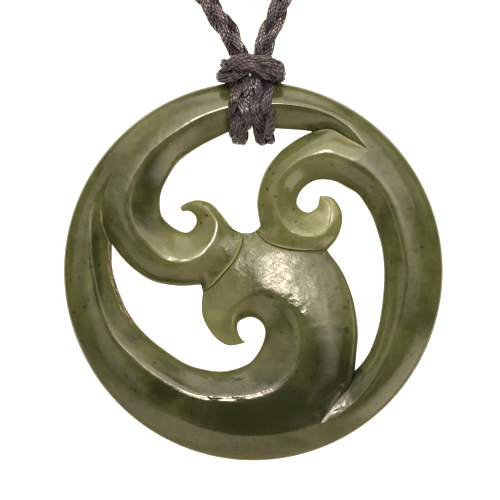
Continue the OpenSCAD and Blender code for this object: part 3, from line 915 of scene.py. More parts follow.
        # An endless straight edge pulls by half pi over the distance cubed
        from_edge = (pull * 2 / math.pi) ** (-1 / 3)
        climb = from_edge / np.maximum(from_edge + (1 - share) * wide, 1e-9)
        far = ease((share * wide - self.soften_from) / self.soften_over)
        return mix(share, climb, far), mix(outer[:, 2], (pulls * outer[:, 2]).sum(1) / pull, far)

    def _outer_slope(
        self,
        frond: Frond,
        station: np.ndarray,
        outer: np.ndarray,
        crest: np.ndarray,
        share: float,
        soft: tuple[np.ndarray, np.ndarray],
        wear: tuple[np.ndarray, ...],
    ) -> np.ndarray:
        """One column of the outer slope, at a share of the way from the edge to the crest."""
        place = mix(outer[:, :2], crest[:, :2], share)
        power = frond.shoulder_power(station)
        climb, edge_height = soft
        rise = (1 - (1 - climb) ** power) ** (1 / power)
        limb = mix(edge_height, crest[:, 2], rise)
        off, off_edge, off_crest = (
            FACE.height(FACE.depth(there)) - height
            for there, height in ((place, limb), (outer, outer[:, 2]), (crest, crest[:, 2]))
        )
        # What the edge lies below the ring's face is made up close to the edge
        wide = np.linalg.norm(crest[:, :2] - outer[:, :2], axis=1)
        near = (1 - share) ** np.maximum(1.0, wide / self.edge_reach)
        height = limb + frond.on_ring(station) * (off - mix(off_crest, off_edge, near))
        return np.column_stack([place, self._worn(height, share, *wear)])

    def _inner_slope(
        self,
        frond: Frond,
        crest: np.ndarray,
        inner: np.ndarray,
        share: float,
        wear: tuple[np.ndarray, ...],
    ) -> np.ndarray:
        """One column of the inner slope, at a share of the way from the edge to the crest."""
        rise = (1 - (1 - share) ** frond.inner_round) ** (1 / frond.inner_round)
        height = mix(inner[:, 2], crest[:, 2], rise)
        place = mix(inner[:, :2], crest[:, :2], share)
        return np.column_stack([place, self._worn(height, share, *wear)])

    def _worn(
        self,
        height: np.ndarray,
        share: float,
        wide: np.ndarray,
        rounding: np.ndarray,
        groove: np.ndarray,
        ridge: np.ndarray,
    ) -> np.ndarray:
        """Rounds an edge and the crest and sinks the groove that a tool leaves at a wall's foot.

        Args:
            height: the slope's height.
            share: the share of the way from the edge to the crest.
            wide: the slope's width.
            rounding: radius of the rounded edge.
            groove: depth of the groove at the edge.
            ridge: how steeply the slopes meet at the crest.

        Returns:
            The height with all of it taken off.
        """
        distance = share * wide
        left = np.clip(rounding - distance, 0.0, None)
        worn = rounding - np.sqrt(np.maximum(rounding**2 - left**2, 0.0))
        to_crest = (1 - share) * wide
        polished = ridge * (np.sqrt(to_crest**2 + self.crest_round**2) - to_crest)
        polished = polished * ease(distance / (0.5 * self.crest_round))
        sunk = groove * np.exp(-distance / self.groove_width)
        return height - np.where(distance < rounding, worn, 0.0) - polished - sunk

    def _lay_frond(self, frond: Frond, name: str) -> bpy.types.Object:
        """Lays a grid over one frond and takes out the strips that its neighbours close.

        Args:
            frond: the frond to lay out.
            name: the object's name.

        Returns:
            The frond as an object.
        """
        station = np.arange(int(round(frond.last / self.row_step)) + 1) * self.row_step
        points, values = self.section(frond, station)
        rows, count = points.shape[:2]
        bare_selection()
        bpy.ops.mesh.primitive_grid_add(x_subdivisions=count - 1, y_subdivisions=rows - 1, size=1.0)
        piece = bpy.context.object
        piece.name = name
        flat = points.reshape(-1, 3)
        forward = FACE.thickness / 2 - flat[:, 2]
        placed = np.column_stack([flat[:, 0], forward, flat[:, 1]]) + STONE_AT
        piece.data.vertices.foreach_set("co", (placed * MM).astype(np.float32).ravel())
        for key, value in values.items():
            store(piece, key, value)
        store(piece, "body_frond", np.full(len(flat), float(frond.carries_rind)))

        middle = station[:-1] + self.row_step / 2
        shared = [stretch for stretch in frond.stretches if stretch.kind >= Kind.HIGH]
        hidden = np.zeros((rows - 1, count - 1), bool)
        outer_wall = len(self.arc)
        inner_wall = 1 + len(self.arc) + len(self.outer_places) + len(self.inner_places)
        hidden[:, outer_wall] = np.any([stretch.covers(middle) for stretch in shared], axis=0)
        hidden[:, inner_wall] = middle < frond.seam.end
        pick(piece)
        bpy.ops.object.mode_set(mode="EDIT")
        bpy.ops.mesh.select_mode(type="FACE")
        bpy.ops.mesh.select_all(action="DESELECT")
        bpy.ops.object.mode_set(mode="OBJECT")
        piece.data.polygons.foreach_set("select", hidden.ravel())
        bpy.ops.object.mode_set(mode="EDIT")
        bpy.ops.mesh.delete(type="ONLY_FACE")
        bpy.ops.object.mode_set(mode="OBJECT")
        return piece

    def build(self) -> bpy.types.Object:
        """Lays the three fronds and joins them into one closed stone.

        Returns:
            The stone.
        """
        parts = [
            self._lay_frond(frond, f"frond_{number}")
            for number, frond in enumerate(self.fronds(), 1)
        ]
        pick(*parts)
        bpy.ops.object.join()
        stone = bpy.context.object
        stone.name = "carved_stone"
        bpy.ops.object.mode_set(mode="EDIT")
        bpy.ops.mesh.select_all(action="SELECT")
        bpy.ops.mesh.remove_doubles(threshold=self.merge)
        bpy.ops.mesh.select_all(action="SELECT")
        bpy.ops.mesh.dissolve_degenerate(threshold=self.merge)
        bpy.ops.mesh.delete_loose()
        bpy.ops.mesh.select_all(action="SELECT")
        bpy.ops.mesh.normals_make_consistent(inside=False)
        bpy.ops.object.mode_set(mode="OBJECT")
        smooth_by_angle(stone, self.crease)
        return stone


@dataclass
class Route:
    """The cord's middle from the nape, through the knot and back.

    Each row is a point in millimetres, where the plait's face looks there, and its spread. The
    knot's points count from the stone's centre.
    """

    samples: int = 10
    neck_right: Rows = (
        (-0.4, 0, 0, 0, 1, 0, 1), (-8, 0, 0, 0, 1, 0, 1), (-20, -2, 0, -0.3, 1, 0, 1),
        (-34, -9, 0, -0.6, 0.8, 0, 1), (-46, -21, -2, -0.8, 0.5, 0, 1),
        (-53, -37, -7, -1, 0.2, 0.2, 1), (-55, -54, -15, -1, 0, 0.3, 1),
        (-53.5, -68, -29, -1, -0.2, 0.2, 1), (-49, -79, -44, -0.8, -0.6, 0.2, 1),
        (-42.5, -87.5, -59, -0.5, -0.8, 0.2, 1), (-34, -94, -75, -0.2, -1, 0.2, 1),
        (-25.5, -98.5, -90, 0, -1, 0.2, 1), (-16.2, -102, -106, 0, -1, 0.1, 1),
    )
    neck_left: Rows = (
        (10.6, -102, -106, 0, -1, 0.1, 1), (18, -98.5, -90, 0, -1, 0.2, 1),
        (26, -94, -75, 0.2, -1, 0.2, 1), (34.5, -88, -59, 0.5, -0.8, 0.2, 1),
        (43, -80, -43, 0.8, -0.6, 0.2, 1), (51, -69, -28, 1, -0.2, 0.2, 1),
        (55, -54, -15, 1, 0, 0.3, 1), (53, -37, -7, 1, 0.2, 0.2, 1),
        (46, -21, -2, 0.8, 0.5, 0, 1), (34, -9, 0, 0.6, 0.8, 0, 1), (20, -2, 0, 0.3, 1, 0, 1),
        (8, 0, 0, 0, 1, 0, 1), (0.4, 0, 0, 0, 1, 0, 1),
    )
    knot: Rows = (
        (-6.7, -1.2, 39.2, 0, -1, 0, 1), (-3.4, -1.2, 34, 0, -1, 0, 1),
        (-2.0, -1.2, 31.3, 0, -1, 0, 1), (-1.7, -1.3, 29.4, 0, -1, 0, 1),
        (-1.7, -1.6, 27.6, 0, -1, 0.2, 1.1), (-1.8, -2.5, 25.7, 0, -1, 0.3, 1.2),
        (-1.9, -3.1, 23.9, 0, -1, 0, 1.35), (-2.0, -2.4, 21.9, 0, -0.9, -0.5, 1.5),
        (-2.05, -0.8, 20.1, 0, -0.6, -0.8, 1.1), (-2.0, 1.2, 19.2, 0, 0, -1, 0.6),
        (-2.0, 3.2, 19.5, 0, 0.6, -0.8, 0.8), (-2.1, 4.2, 21.3, 0, 1, -0.2, 1),
        (-2.3, 4.2, 24, 0, 1, 0, 1), (-2.7, 4.2, 26.5, -0.2, 1, 0.2, 1),
        (-3.3, 3.6, 28.3, -0.4, 0.6, 0.7, 1.1), (-3.9, 1.9, 29.1, -0.7, 0.1, 0.7, 1.3),
        (-4.2, 0, 28.9, -0.9, 0, 0.3, 1.4), (-4.1, -1.9, 28.7, -1, -0.3, 0.1, 1.4),
        (-3.3, -3.3, 28.9, -0.6, -0.8, 0.3, 1.2), (-1.7, -3.7, 29.7, -0.1, -1, 0.3, 1),
        (-0.1, -3.8, 30.1, 0, -1, 0.3, 1), (1.4, -3.7, 29.7, 0.1, -1, 0.3, 1),
        (2.7, -3.2, 28.9, 0.7, -0.7, 0.3, 1), (3.5, -1.8, 28.7, 1, -0.3, 0.1, 1),
        (3.6, 0.1, 28.9, 0.9, 0, 0.3, 1), (3.4, 1.9, 29.1, 0.7, 0.1, 0.7, 1),
        (2.9, 3.6, 28.3, 0.4, 0.6, 0.7, 1), (2.4, 4.2, 26.5, 0.2, 1, 0.2, 1),
        (2.0, 4.2, 24, 0, 1, 0, 1), (1.9, 4.2, 21.3, 0, 1, -0.2, 1),
        (1.9, 3.2, 19.5, 0, 0.6, -0.8, 0.8), (1.55, 1.2, 19.3, 0, 0, -1, 0.65),
        (1.45, -0.8, 20.2, 0, -0.6, -0.8, 1.1), (1.35, -2.4, 21.9, 0, -0.9, -0.5, 1.4),
        (1.3, -3.1, 23.9, 0, -1, 0, 1.3), (1.25, -2.5, 25.7, 0, -1, 0.3, 1.2),
        (1.1, -1.6, 27.6, 0, -1, 0.2, 1.1), (1.1, -1.3, 29.4, 0, -1, 0, 1),
        (1.2, -1.2, 31.3, 0, -1, 0, 1), (2.4, -1.2, 34.7, 0, -1, 0, 1),
        (4.2, -1.2, 39.2, 0, -1, 0, 1),
    )

    def __post_init__(self) -> None:
        """Lays out the whole route and measures along it."""
        knot = np.array(self.knot, float)
        knot[:, :3] += STONE_AT
        rows = np.vstack([np.array(self.neck_right, float), knot, np.array(self.neck_left, float)])
        before = np.vstack([2 * rows[0] - rows[1], rows[:-2]])
        after = np.vstack([rows[2:], 2 * rows[-1] - rows[-2]])
        first, second = rows[:-1], rows[1:]
        parts = []
        for number in range(self.samples):
            share = number / self.samples
            parts.append(0.5 * (
                2 * first + (second - before) * share
                + (2 * before - 5 * first + 4 * second - after) * share**2
                + (3 * first - before - 3 * second + after) * share**3
            ))
        self.line = np.vstack([np.stack(parts, 1).reshape(-1, rows.shape[1]), rows[-1:]])
        gaps = np.linalg.norm(np.diff(self.line[:, :3], axis=0), axis=1)
        self.travelled = np.concatenate([[0.0], np.cumsum(gaps)])
        self.length = float(self.travelled[-1])
        first_row = len(self.neck_right)
        last_row = first_row + len(self.knot) - 1
        self.knot_from = float(self.travelled[first_row * self.samples])
        self.knot_to = float(self.travelled[last_row * self.samples])

    def at(self, length: np.ndarray) -> np.ndarray:
        """Every column of the route at lengths along it."""
        return np.stack([np.interp(length, self.travelled, column) for column in self.line.T], 1)

    def frame(self, length: np.ndarray, reach: float = 0.4) -> tuple[np.ndarray, np.ndarray]:
        """The plait's side and face directions.

        Args:
            length: lengths along the route.
            reach: how far to each side the direction is taken over.

        Returns:
            Unit side and face vectors.
        """
        ahead = self.at(np.minimum(self.length, length + reach))[:, :3]
        behind = self.at(np.maximum(0.0, length - reach))[:, :3]
        return square_up(ahead - behind, self.at(length)[:, 3:6])


def square_up(along: np.ndarray, facing: np.ndarray) -> tuple[np.ndarray, np.ndarray]:
    """Side and face directions square to a line.

    Args:
        along: the line's direction at each point.
        facing: roughly where the face looks.

    Returns:
        Unit side and face vectors.
    """
    along = along / np.linalg.norm(along, axis=1)[:, None]
    face = facing - along * (facing * along).sum(1)[:, None]
    face = face / np.linalg.norm(face, axis=1)[:, None]
    return np.cross(along, face), face


def wander(count: int, spacing: float, reach: float, seed: int) -> np.ndarray:
    """A smooth seeded wobble around 0.

    Args:
        count: how many points.
        spacing: points between one free value and the next.
        reach: the wobble's size.
        seed: which wobble.

    Returns:
        One value for each point.
    """
    generator = np.random.default_rng(seed)
    knots = generator.normal(0.0, 1.0, int(count / spacing) + 4)
    place = np.arange(count) / spacing
    low = place.astype(int)
    share = ease(place - low)
    return reach * mix(knots[low], knots[low + 1], share)


@dataclass
class WaxedPlait:
    """The three-strand plait, each strand a bundle of thin waxed threads."""

    route: Route
    reach_wide: float = 0.85
    reach_deep: float = 0.69
    strand_wide: float = 0.66
    strand_deep: float = 0.4
    pitch: float = 15.0
    threads: int = 15
    thread_radius: float = 0.135
    twist: float = 15.0
    ring_gap: float = 0.45
    knot_ring_gap: float = 0.3
    sides: int = 5
    spiral_turn: float = 137.5
    ply_shift: float = 0.618
    stray: float = 0.1
    thick_and_thin: float = 0.09
    crease: float = 70.0

    def lengths(self) -> np.ndarray:
        """Lengths along the route at which the threads have rings."""
        neck = np.arange(0.0, self.route.knot_from, self.ring_gap)
        knot = np.arange(self.route.knot_from, self.route.knot_to, self.knot_ring_gap)
        rest = np.arange(self.route.knot_to, self.route.length, self.ring_gap)
        return np.concatenate([neck, knot, rest, [self.route.length]])

    def strand_line(self, number: int, length: np.ndarray) -> np.ndarray:
        """The middle of one strand as it crosses the plait, in millimetres."""
        found = self.route.at(length)
        side, face = self.route.frame(length)
        turn = 2 * math.pi * (length / self.pitch + number / 3)
        wide = self.reach_wide * found[:, 6] * np.sin(turn)
        deep = self.reach_deep * np.sin(2 * turn)
        return found[:, :3] + side * wide[:, None] + face * deep[:, None]

    def build(self) -> list[bpy.types.Object]:
        """Makes each strand's threads as one piece.

        Returns:
            The three strands.
        """
        return [self._strand(number) for number in (1, 2, 3)]

    def _thread(
        self, number: int, thread: int, length: np.ndarray, middle: np.ndarray, facing: np.ndarray
    ) -> np.ndarray:
        """One thread's rings, as it lies in its strand.

        Args:
            number: the strand's number.
            thread: the thread's number in the strand.
            length: lengths along the route, one for each ring.
            middle: the strand's middle there.
            facing: where the plait's face looks there.

        Returns:
            The points by ring and side, in millimetres.
        """
        side, face = square_up(np.gradient(middle, axis=0), facing)
        count = len(length)
        seed = 100 * number + thread
        # A sunflower's spiral fills the bundle evenly
        out = math.sqrt((thread + 0.5) / self.threads)
        angle = thread * math.radians(self.spiral_turn) + 2 * math.pi * length / self.twist
        wide = self.strand_wide * (out * np.cos(angle) + wander(count, 6, self.stray, seed))
        deep = self.strand_deep * (out * np.sin(angle) + wander(count, 7, self.stray, seed + 50))
        line = middle + side * wide[:, None] + face * deep[:, None]
        radius = self.thread_radius * (1 + wander(count, 5, self.thick_and_thin, seed + 30))
        thread_side, thread_face = square_up(np.gradient(line, axis=0), facing)
        ring = 2 * math.pi * np.arange(self.sides) / self.sides
        return line[:, None, :] + radius[:, None, None] * (
            thread_side[:, None, :] * np.cos(ring)[None, :, None]
            + thread_face[:, None, :] * np.sin(ring)[None, :, None]
        )

    def _thread_faces(self, first: int, count: int) -> list[list[int]]:
        """The walls and both ends of one thread.

        Args:
            first: the number of its first point.
            count: how many rings it has.

        Returns:
            The faces' corners.
        """
        start = first + np.arange(count - 1)[:, None] * self.sides
        here = np.arange(self.sides)[None, :]
        there = (here + 1) % self.sides
        beyond = start + self.sides
        walls = np.stack([start + here, beyond + here, beyond + there, start + there], 2)
        last = first + count * self.sides - 1
        return [
            *walls.reshape(-1, 4).tolist(),
            [first + corner for corner in range(self.sides)],
            [last - corner for corner in range(self.sides)],
        ]

    def _strand(self, number: int) -> bpy.types.Object:
        """One strand's bundle of threads."""
        length = self.lengths()
        middle = self.strand_line(number, length)
        facing = self.route.at(length)[:, 3:6]
        count = len(length)
        points, faces, along = [], [], []
        for thread in range(self.threads):
            body = self._thread(number, thread, length, middle, facing)
            points.append(body.reshape(-1, 3))
            along.append(np.repeat(length + self.ply_shift * thread * thread, self.sides))
            faces.extend(self._thread_faces(thread * count * self.sides, count))
        mesh = bpy.data.meshes.new(f"plait_strand_{number}")
        mesh.from_pydata((np.vstack(points) * MM).tolist(), [], faces)
        piece = bpy.data.objects.new(mesh.name, mesh)
        bpy.context.scene.collection.objects.link(piece)
        store(piece, "along", np.concatenate(along))
        turn = np.tile(2 * math.pi * np.arange(self.sides) / self.sides, count * self.threads)
        store(piece, "turn_cos", np.cos(turn))
        store(piece, "turn_sin", np.sin(turn))
        smooth_by_angle(piece, self.crease)
        return piece


@dataclass
class NapeWhipping:
    """The wound thread that binds the cord's ends at the nape."""

    length: float = 14.0
    outer_radius: float = 2.2
    thread_radius: float = 0.26
    winds: int = 27
    thread_sides: int = 10
    wind_steps: int = 28
    crease: float = 60.0

    def build(self) -> bpy.types.Object:
        """Winds one thread round the cord's ends and closes both of its ends.

        Returns:
            The whipping.
        """
        bare_selection()
        middle = (self.outer_radius - self.thread_radius) * MM
        start = (self.thread_radius - self.length / 2) * MM
        bpy.ops.mesh.primitive_circle_add(
            vertices=self.thread_sides, radius=self.thread_radius * MM, location=(start, 0, middle)
        )
        thread = bpy.context.object
        thread.name = "nape_whipping"
        bpy.ops.object.mode_set(mode="EDIT")
        bpy.ops.mesh.select_all(action="SELECT")
        bpy.ops.transform.rotate(
            value=math.radians(90), orient_axis="X", center_override=(start, 0, middle)
        )
        bpy.ops.object.mode_set(mode="OBJECT")
        settle(thread)
        winding = thread.modifiers.new("winding", "SCREW")
        winding.axis = "X"
        winding.steps = winding.render_steps = self.wind_steps
        winding.iterations = self.winds
        winding.screw_offset = (self.length - 2 * self.thread_radius) / self.winds * MM
        winding.use_normal_calculate = True
        pick(thread)
        bpy.ops.object.modifier_apply(modifier=winding.name)
        bpy.ops.object.mode_set(mode="EDIT")
        bpy.ops.mesh.select_all(action="SELECT")
        bpy.ops.mesh.region_to_loop()
        bpy.ops.mesh.edge_face_add()
        bpy.ops.mesh.select_all(action="SELECT")
        bpy.ops.mesh.normals_make_consistent(inside=False)
        bpy.ops.object.mode_set(mode="OBJECT")
        smooth_by_angle(thread, self.crease)
        return thread


@dataclass(frozen=True)
class Spot:
    """A round or oval place on the stone's face, in millimetres from its centre."""

    x: float
    z: float
    wide: float
    tall: float
    turn: float = 0.0

    def distance(self, bench: Bench, place: Socket) -> Socket:
        """The point's distance from the middle of the spot, where the spot's rim counts as 1."""
        centre = (STONE_AT + np.array([self.x, 0.0, self.z])) * MM
        pattern = bench.moved(place, centre, (self.wide * MM, 1.0, self.tall * MM), self.turn)
        return bench.add("ShaderNodeVectorMath", {"operation": "LENGTH"}, {0: pattern}, out="Value")

    def cover(self, bench: Bench, place: Socket, ragged: Any = 0.0) -> Socket:
        """1 in the middle of the spot, falling to 0 at its rim.

        Args:
            bench: the material's bench.
            place: the point's place.
            ragged: added to the distance, for a ragged rim.

        Returns:
            The share of the spot at the point.
        """
        return (self.distance(bench, place) + ragged).ramp(1.1, 0.4)


@dataclass(frozen=True)
class Greenstone:
    """Polished nephrite: olive green, slightly translucent and mottled, with specks and a rind. Its
    colour also carries painted light: a glow at thin edges and tips, highlights along raised lips
    and one crest, and shade towards the bottom and at the foot of the ring.
    """

    # The darkest green, reached by the clouds, the darker patches and the painted shade.
    deep: tuple = colour(0.009, 0.014, 0.0028)
    body: tuple = colour(0.077, 0.087, 0.032)
    # The light green of thin edges and tips, where it is a painted glow, and of the paler patches.
    light: tuple = colour(0.15, 0.166, 0.066)
    # Painted highlight: the light colour of lines along raised lips and of the crest inside the
    # marked spot.
    lip_highlight: tuple = colour(0.36, 0.36, 0.2)
    cream: tuple = colour(0.27, 0.23, 0.13)
    brown: tuple = colour(0.026, 0.019, 0.008)
    speck: tuple = colour(0.014, 0.009, 0.003)
    purple: tuple = colour(0.035, 0.024, 0.03)
    roughness: float = 0.15
    refraction: float = 1.61
    glow: float = 0.15
    glow_reach: tuple[float, float, float] = (1.2, 1.3, 0.4)
    glow_scale: float = 0.0014
    spread: float = 0.3
    scratched: tuple[Spot, ...] = (
        Spot(3.6, 0.2, 8.5, 5.0, 30), Spot(-9.3, 1.8, 4.0, 2.2, 20), Spot(7.9, 5.2, 3.4, 1.8, -15),
        Spot(11.6, -18.8, 5.0, 1.8, -48), Spot(-3.5, -17.0, 5.5, 1.8, 5),
    )
    bruised: tuple[Spot, ...] = (
        Spot(19.6, 12.8, 2.6, 1.6, 50), Spot(21.6, 8.6, 2.4, 1.4, 65),
        Spot(17.6, 16.0, 2.4, 1.6, 45), Spot(25.4, 5.2, 1.8, 1.0, 75),
    )
    # Darker patches in the stone; the one at the ring's lower right is painted shade, a dark
    # reflection.
    darker_and_shaded: tuple[Spot, ...] = (
        Spot(-14.6, 12.4, 2.2, 5.0, 15), Spot(-22.7, 0.5, 1.0, 8.0, -4),
        Spot(8.0, 14.8, 3.0, 1.1, 5), Spot(6.3, -24.8, 4.0, 1.2, 14),
    )
    # Partly a darker cloud in the stone and partly painted shade: a dark reflection at the foot of
    # the ring, painted into the colour.
    shaded: tuple[Spot, ...] = (
        Spot(3.0, -20.4, 14.5, 6.6, 6), Spot(12.2, -13.5, 4.5, 7.5, -25),
        Spot(-12.5, -17.0, 7.0, 2.8, -38),
    )
    # The ring's crest circle: the painted shade stops crisply on it, and the surface is bent just
    # below it.
    ring_crest: Spot = Spot(0.0, 0.0, 23.8, 23.8)
    ring_foot: Spot = Spot(-0.5, -23.8, 17.0, 8.0)
    paler: tuple[Spot, ...] = (
        Spot(5.0, 10.6, 10.0, 10.0), Spot(-9.9, 3.0, 6.0, 4.0, 20), Spot(11.0, 17.2, 6.0, 3.0, -20),
    )
    # Painted highlight: the spot in which the crest line is coloured lighter.
    lighter_patch: tuple[Spot, ...] = (Spot(9.6, 7.6, 4.6, 4.6),)
    stained: tuple[Spot, ...] = (
        Spot(2.9, -10.6, 1.3, 3.2, -25), Spot(-21.4, 15.0, 1.6, 3.4, 20),
        Spot(-8.6, 12.5, 1.6, 2.6, 40),
    )

    def make(self) -> bpy.types.Material:
        """Mixes the stone's colour, gloss and fine scratches.

        Returns:
            The material.
        """
        bench = Bench("nephrite")
        place = bench.place()
        rind = self._rind(bench, place)
        rough, normal = self._polish(bench, place, rind)
        return bench.finish({
            "Base Color": self._colours(bench, place, rind),
            "Roughness": rough,
            "IOR": self.refraction,
            "Subsurface Weight": self.glow,
            "Subsurface Radius": self.glow_reach,
            "Subsurface Scale": self.glow_scale,
            "Normal": normal,
        })

    @staticmethod
    def _rind(bench: Bench, place: Socket) -> Socket:
        """Where the rough outer rind is left on the body's inner edge."""
        to_tip = bench.attribute("to_tip")
        along = to_tip.ramp(40.5, 42.5) * to_tip.ramp(49.9, 49.3) * bench.attribute("body_frond")
        ragged = bench.noise(place, 700, detail=3, rough=0.7) * 0.5
        return (along * (bench.attribute("inner_gap") + ragged).ramp(1.0, 0.75)).clamp()

    @staticmethod
    def _fibres(bench: Bench) -> Socket:
        """Long fibres that run along the rind."""
        lie = bench.add(
            "ShaderNodeCombineXYZ", {},
            {"X": bench.attribute("to_tip") * 1.3, "Y": bench.attribute("inner_gap") * 5.0},
        )
        return bench.noise(lie, 1.0, detail=4, rough=0.75, warp=0.4)

    def _colours(self, bench: Bench, place: Socket, rind: Socket) -> Socket:
        """The stone's colours, from its clouds to its specks, with painted glow, highlights and
        shade.
        """
        clouds = bench.noise(place, 150, detail=5, rough=0.6, warp=0.8)
        grain = bench.noise(place, 1100, detail=4, rough=0.7)
        # Painted shade: the colour darkens towards the bottom of the stone, where less light falls.
        low = bench.add("ShaderNodeSeparateXYZ", {}, {"Vector": place}, out="Z")
        low = (low + clouds * 0.004).ramp((STONE_AT[2] - 3) * MM, (STONE_AT[2] - 15) * MM)
        tone = (clouds * 0.65 + grain * 0.35).ramp(0.2, 0.75) * (1 - low * 0.4)
        # The shaded spots darken the colour only inside the ring's crest, so that the painted shade
        # ends on a crisp line.
        within = self.ring_crest.distance(bench, place).ramp(1.006, 0.994)
        # Darker patches, one of them painted shade, deepen the colour.
        dark = sum(spot.cover(bench, place, clouds - 0.5) for spot in self.darker_and_shaded)
        dark = dark + sum(spot.cover(bench, place, clouds - 0.5) for spot in self.shaded) * within
        stone = bench.blend((tone * (1 - dark.clamp() * 0.8)).clamp(), self.deep, self.body)
        # Painted light: the colour turns lighter near thin edges and towards the tips, standing in
        # for light that shines through thin stone.
        tip = bench.attribute("to_tip").ramp(11.0, 1.0)
        thin = bench.attribute("edge") * 0.3 + tip * 0.62
        stone = bench.blend((thin * (clouds + 0.5)).clamp(), stone, self.light)
        # Painted highlight: the crest line is made lighter inside the marked spot.
        lighter_patch = sum(spot.cover(bench, place) for spot in self.lighter_patch).clamp()
        lines = bench.attribute("crest") * lighter_patch * grain.ramp(0.3, 0.6)
        # Painted highlight: a light line along each lip where one frond stands above another.
        lines = lines + bench.attribute("lip_highlight") * 0.8
        stone = bench.blend(lines.clamp(), stone, self.lip_highlight)
        pale = sum(spot.cover(bench, place, clouds * 0.5 - 0.25) for spot in self.paler)
        stone = bench.blend(pale.clamp() * 0.4, stone, self.light)
        bruise = sum(spot.cover(bench, place) for spot in self.bruised)
        blots = bench.noise(place, 620, detail=4, rough=0.6).ramp(0.52, 0.66)
        stone = bench.blend((bruise * blots * 0.85).clamp(), stone, self.purple)
        # Browner within about 0.3 millimetres of the free inner edges.
        worn = (bench.attribute("from_inner") + grain * 0.2).ramp(0.3, 0.1)
        stone = bench.blend(worn * 0.5, stone, self.brown)
        stained = sum(spot.cover(bench, place, grain - 0.5) for spot in self.stained)
        stone = bench.blend((stained * 0.5).clamp(), stone, self.brown)
        bark = bench.blend(self._fibres(bench).ramp(0.45, 0.57), self.brown, self.cream)
        stone = bench.blend(rind, stone, bark)
        thick = bench.noise(place, 210, detail=2).ramp(0.46, 0.58)
        fine = self._specks(bench, place, 760.0, 0.24, thick)
        thick = bench.noise(place, 120, detail=2).ramp(0.5, 0.6)
        large = self._specks(bench, place, 300.0, 0.2, thick)
        return bench.blend((fine * 0.8 + large * 0.6).clamp(), stone, self.speck)

    def _specks(
        self, bench: Bench, place: Socket, scale: float, size: float, where: Socket
    ) -> Socket:
        """Small dark marks.

        Args:
            bench: the material's bench.
            place: the point's place.
            scale: how many there are to a metre.
            size: their size, counted in their spacing.
            where: the places that they are kept to.

        Returns:
            The share of a mark at the point.
        """
        bent = bench.add(
            "ShaderNodeTexNoise", {}, {"Vector": place, "Scale": scale * 4}, out="Color"
        )
        spread = bench.add(
            "ShaderNodeVectorMath", {"operation": "SCALE"}, {0: bent, "Scale": self.spread / scale}
        )
        around = bench.add("ShaderNodeVectorMath", {"operation": "ADD"}, {0: place, 1: spread})
        cells = bench.add("ShaderNodeTexVoronoi", {}, {"Vector": around, "Scale": scale})
        return cells.ramp(size, size * 0.4) * where

    def _polish(self, bench: Bench, place: Socket, rind: Socket) -> tuple[Socket, Socket]:
        """The gloss with its hairline scratches.

        Args:
            bench: the material's bench.
            place: the point's place.
            rind: where the stone is left rough.

        Returns:
            The roughness and the normal.
        """
        soft = bench.noise(place, 420, detail=3)
        scratched = sum(
            spot.cover(bench, place, (soft - 0.5) * 1.6) for spot in self.scratched
        ).clamp()
        hairs = []
        for turn in (28.0, -35.0, 81.0):
            bent = bench.moved(place, STONE_AT * MM, (1 / 260, 1 / 260, 1 / 5200), turn)
            hairs.append(bench.noise(bent, 1.0, detail=2, rough=0.8, warp=1.5).ramp(0.52, 0.74))
        waves = bench.noise(place, 330, detail=3, rough=0.55, warp=0.6)
        normal = bench.bump(waves, 0.5, 0.00011)
        slope = ((1.1 - self.ring_crest.distance(bench, place)) * 10).clamp()
        normal = bench.bump(slope * slope * self.ring_foot.cover(bench, place), 1.0, 0.0001, normal)
        facets = bench.noise(place, 260, detail=1, warp=0.3)
        normal = bench.bump(facets * scratched, 0.7, 0.00022, normal)
        dimples = bench.noise(place, 900, detail=2, warp=0.4)
        normal = bench.bump(dimples * scratched, 0.5, 0.000006, normal)
        normal = bench.bump(sum(hairs) * (scratched + 0.06), 0.5, 0.000013, normal)
        bark = bench.noise(place, 3000, detail=3, rough=0.7)
        normal = bench.bump(bark * rind, 1.0, 0.00015, normal)
        rough = scratched * 0.05 + soft * 0.06 + rind * 0.45 + (self.roughness - 0.03)
        return rough, normal


@dataclass(frozen=True)
class WaxedThread:
    """Black-brown waxed thread: twisted plies with a grey-pink shine, partly painted into the
    colour along each ply.
    """

    dark: tuple = colour(0.004, 0.003, 0.0042)
    # The lilac of each ply's crest, a painted sheen.
    light: tuple = colour(0.15, 0.126, 0.168)
    shine: tuple = colour(1.0, 0.9, 1.0)
    ply_length: float = 0.62
    ply_depth: float = 0.00007

    def make(self) -> bpy.types.Material:
        """Mixes the thread's colour and its twisted plies.

        Returns:
            The material.
        """
        bench = Bench("waxed_thread")
        place = bench.place()
        phase = bench.attribute("along") * (2 * math.pi / self.ply_length)
        sine = bench.add("ShaderNodeMath", {"operation": "SINE"}, {0: phase})
        cosine = bench.add("ShaderNodeMath", {"operation": "COSINE"}, {0: phase})
        wave = sine * bench.attribute("turn_cos") + cosine * bench.attribute("turn_sin")
        ply = wave * 0.5 + 0.5
        worn = bench.noise(place, 1100, detail=3, rough=0.65)
        # Painted sheen and shade: each ply's crest is coloured lighter and its groove darker; the
        # noise adds lighter and darker patches of wear.
        shade = bench.blend((ply * 0.6 + worn * 1.2 - 0.6).clamp(), self.dark, self.light)
        return bench.finish({
            "Base Color": shade,
            "Roughness": worn * 0.3 + 0.16,
            "Specular IOR Level": 0.9,
            "Specular Tint": self.shine,
            "Normal": bench.bump(ply + worn * 1.2, 0.9, self.ply_depth),
        })


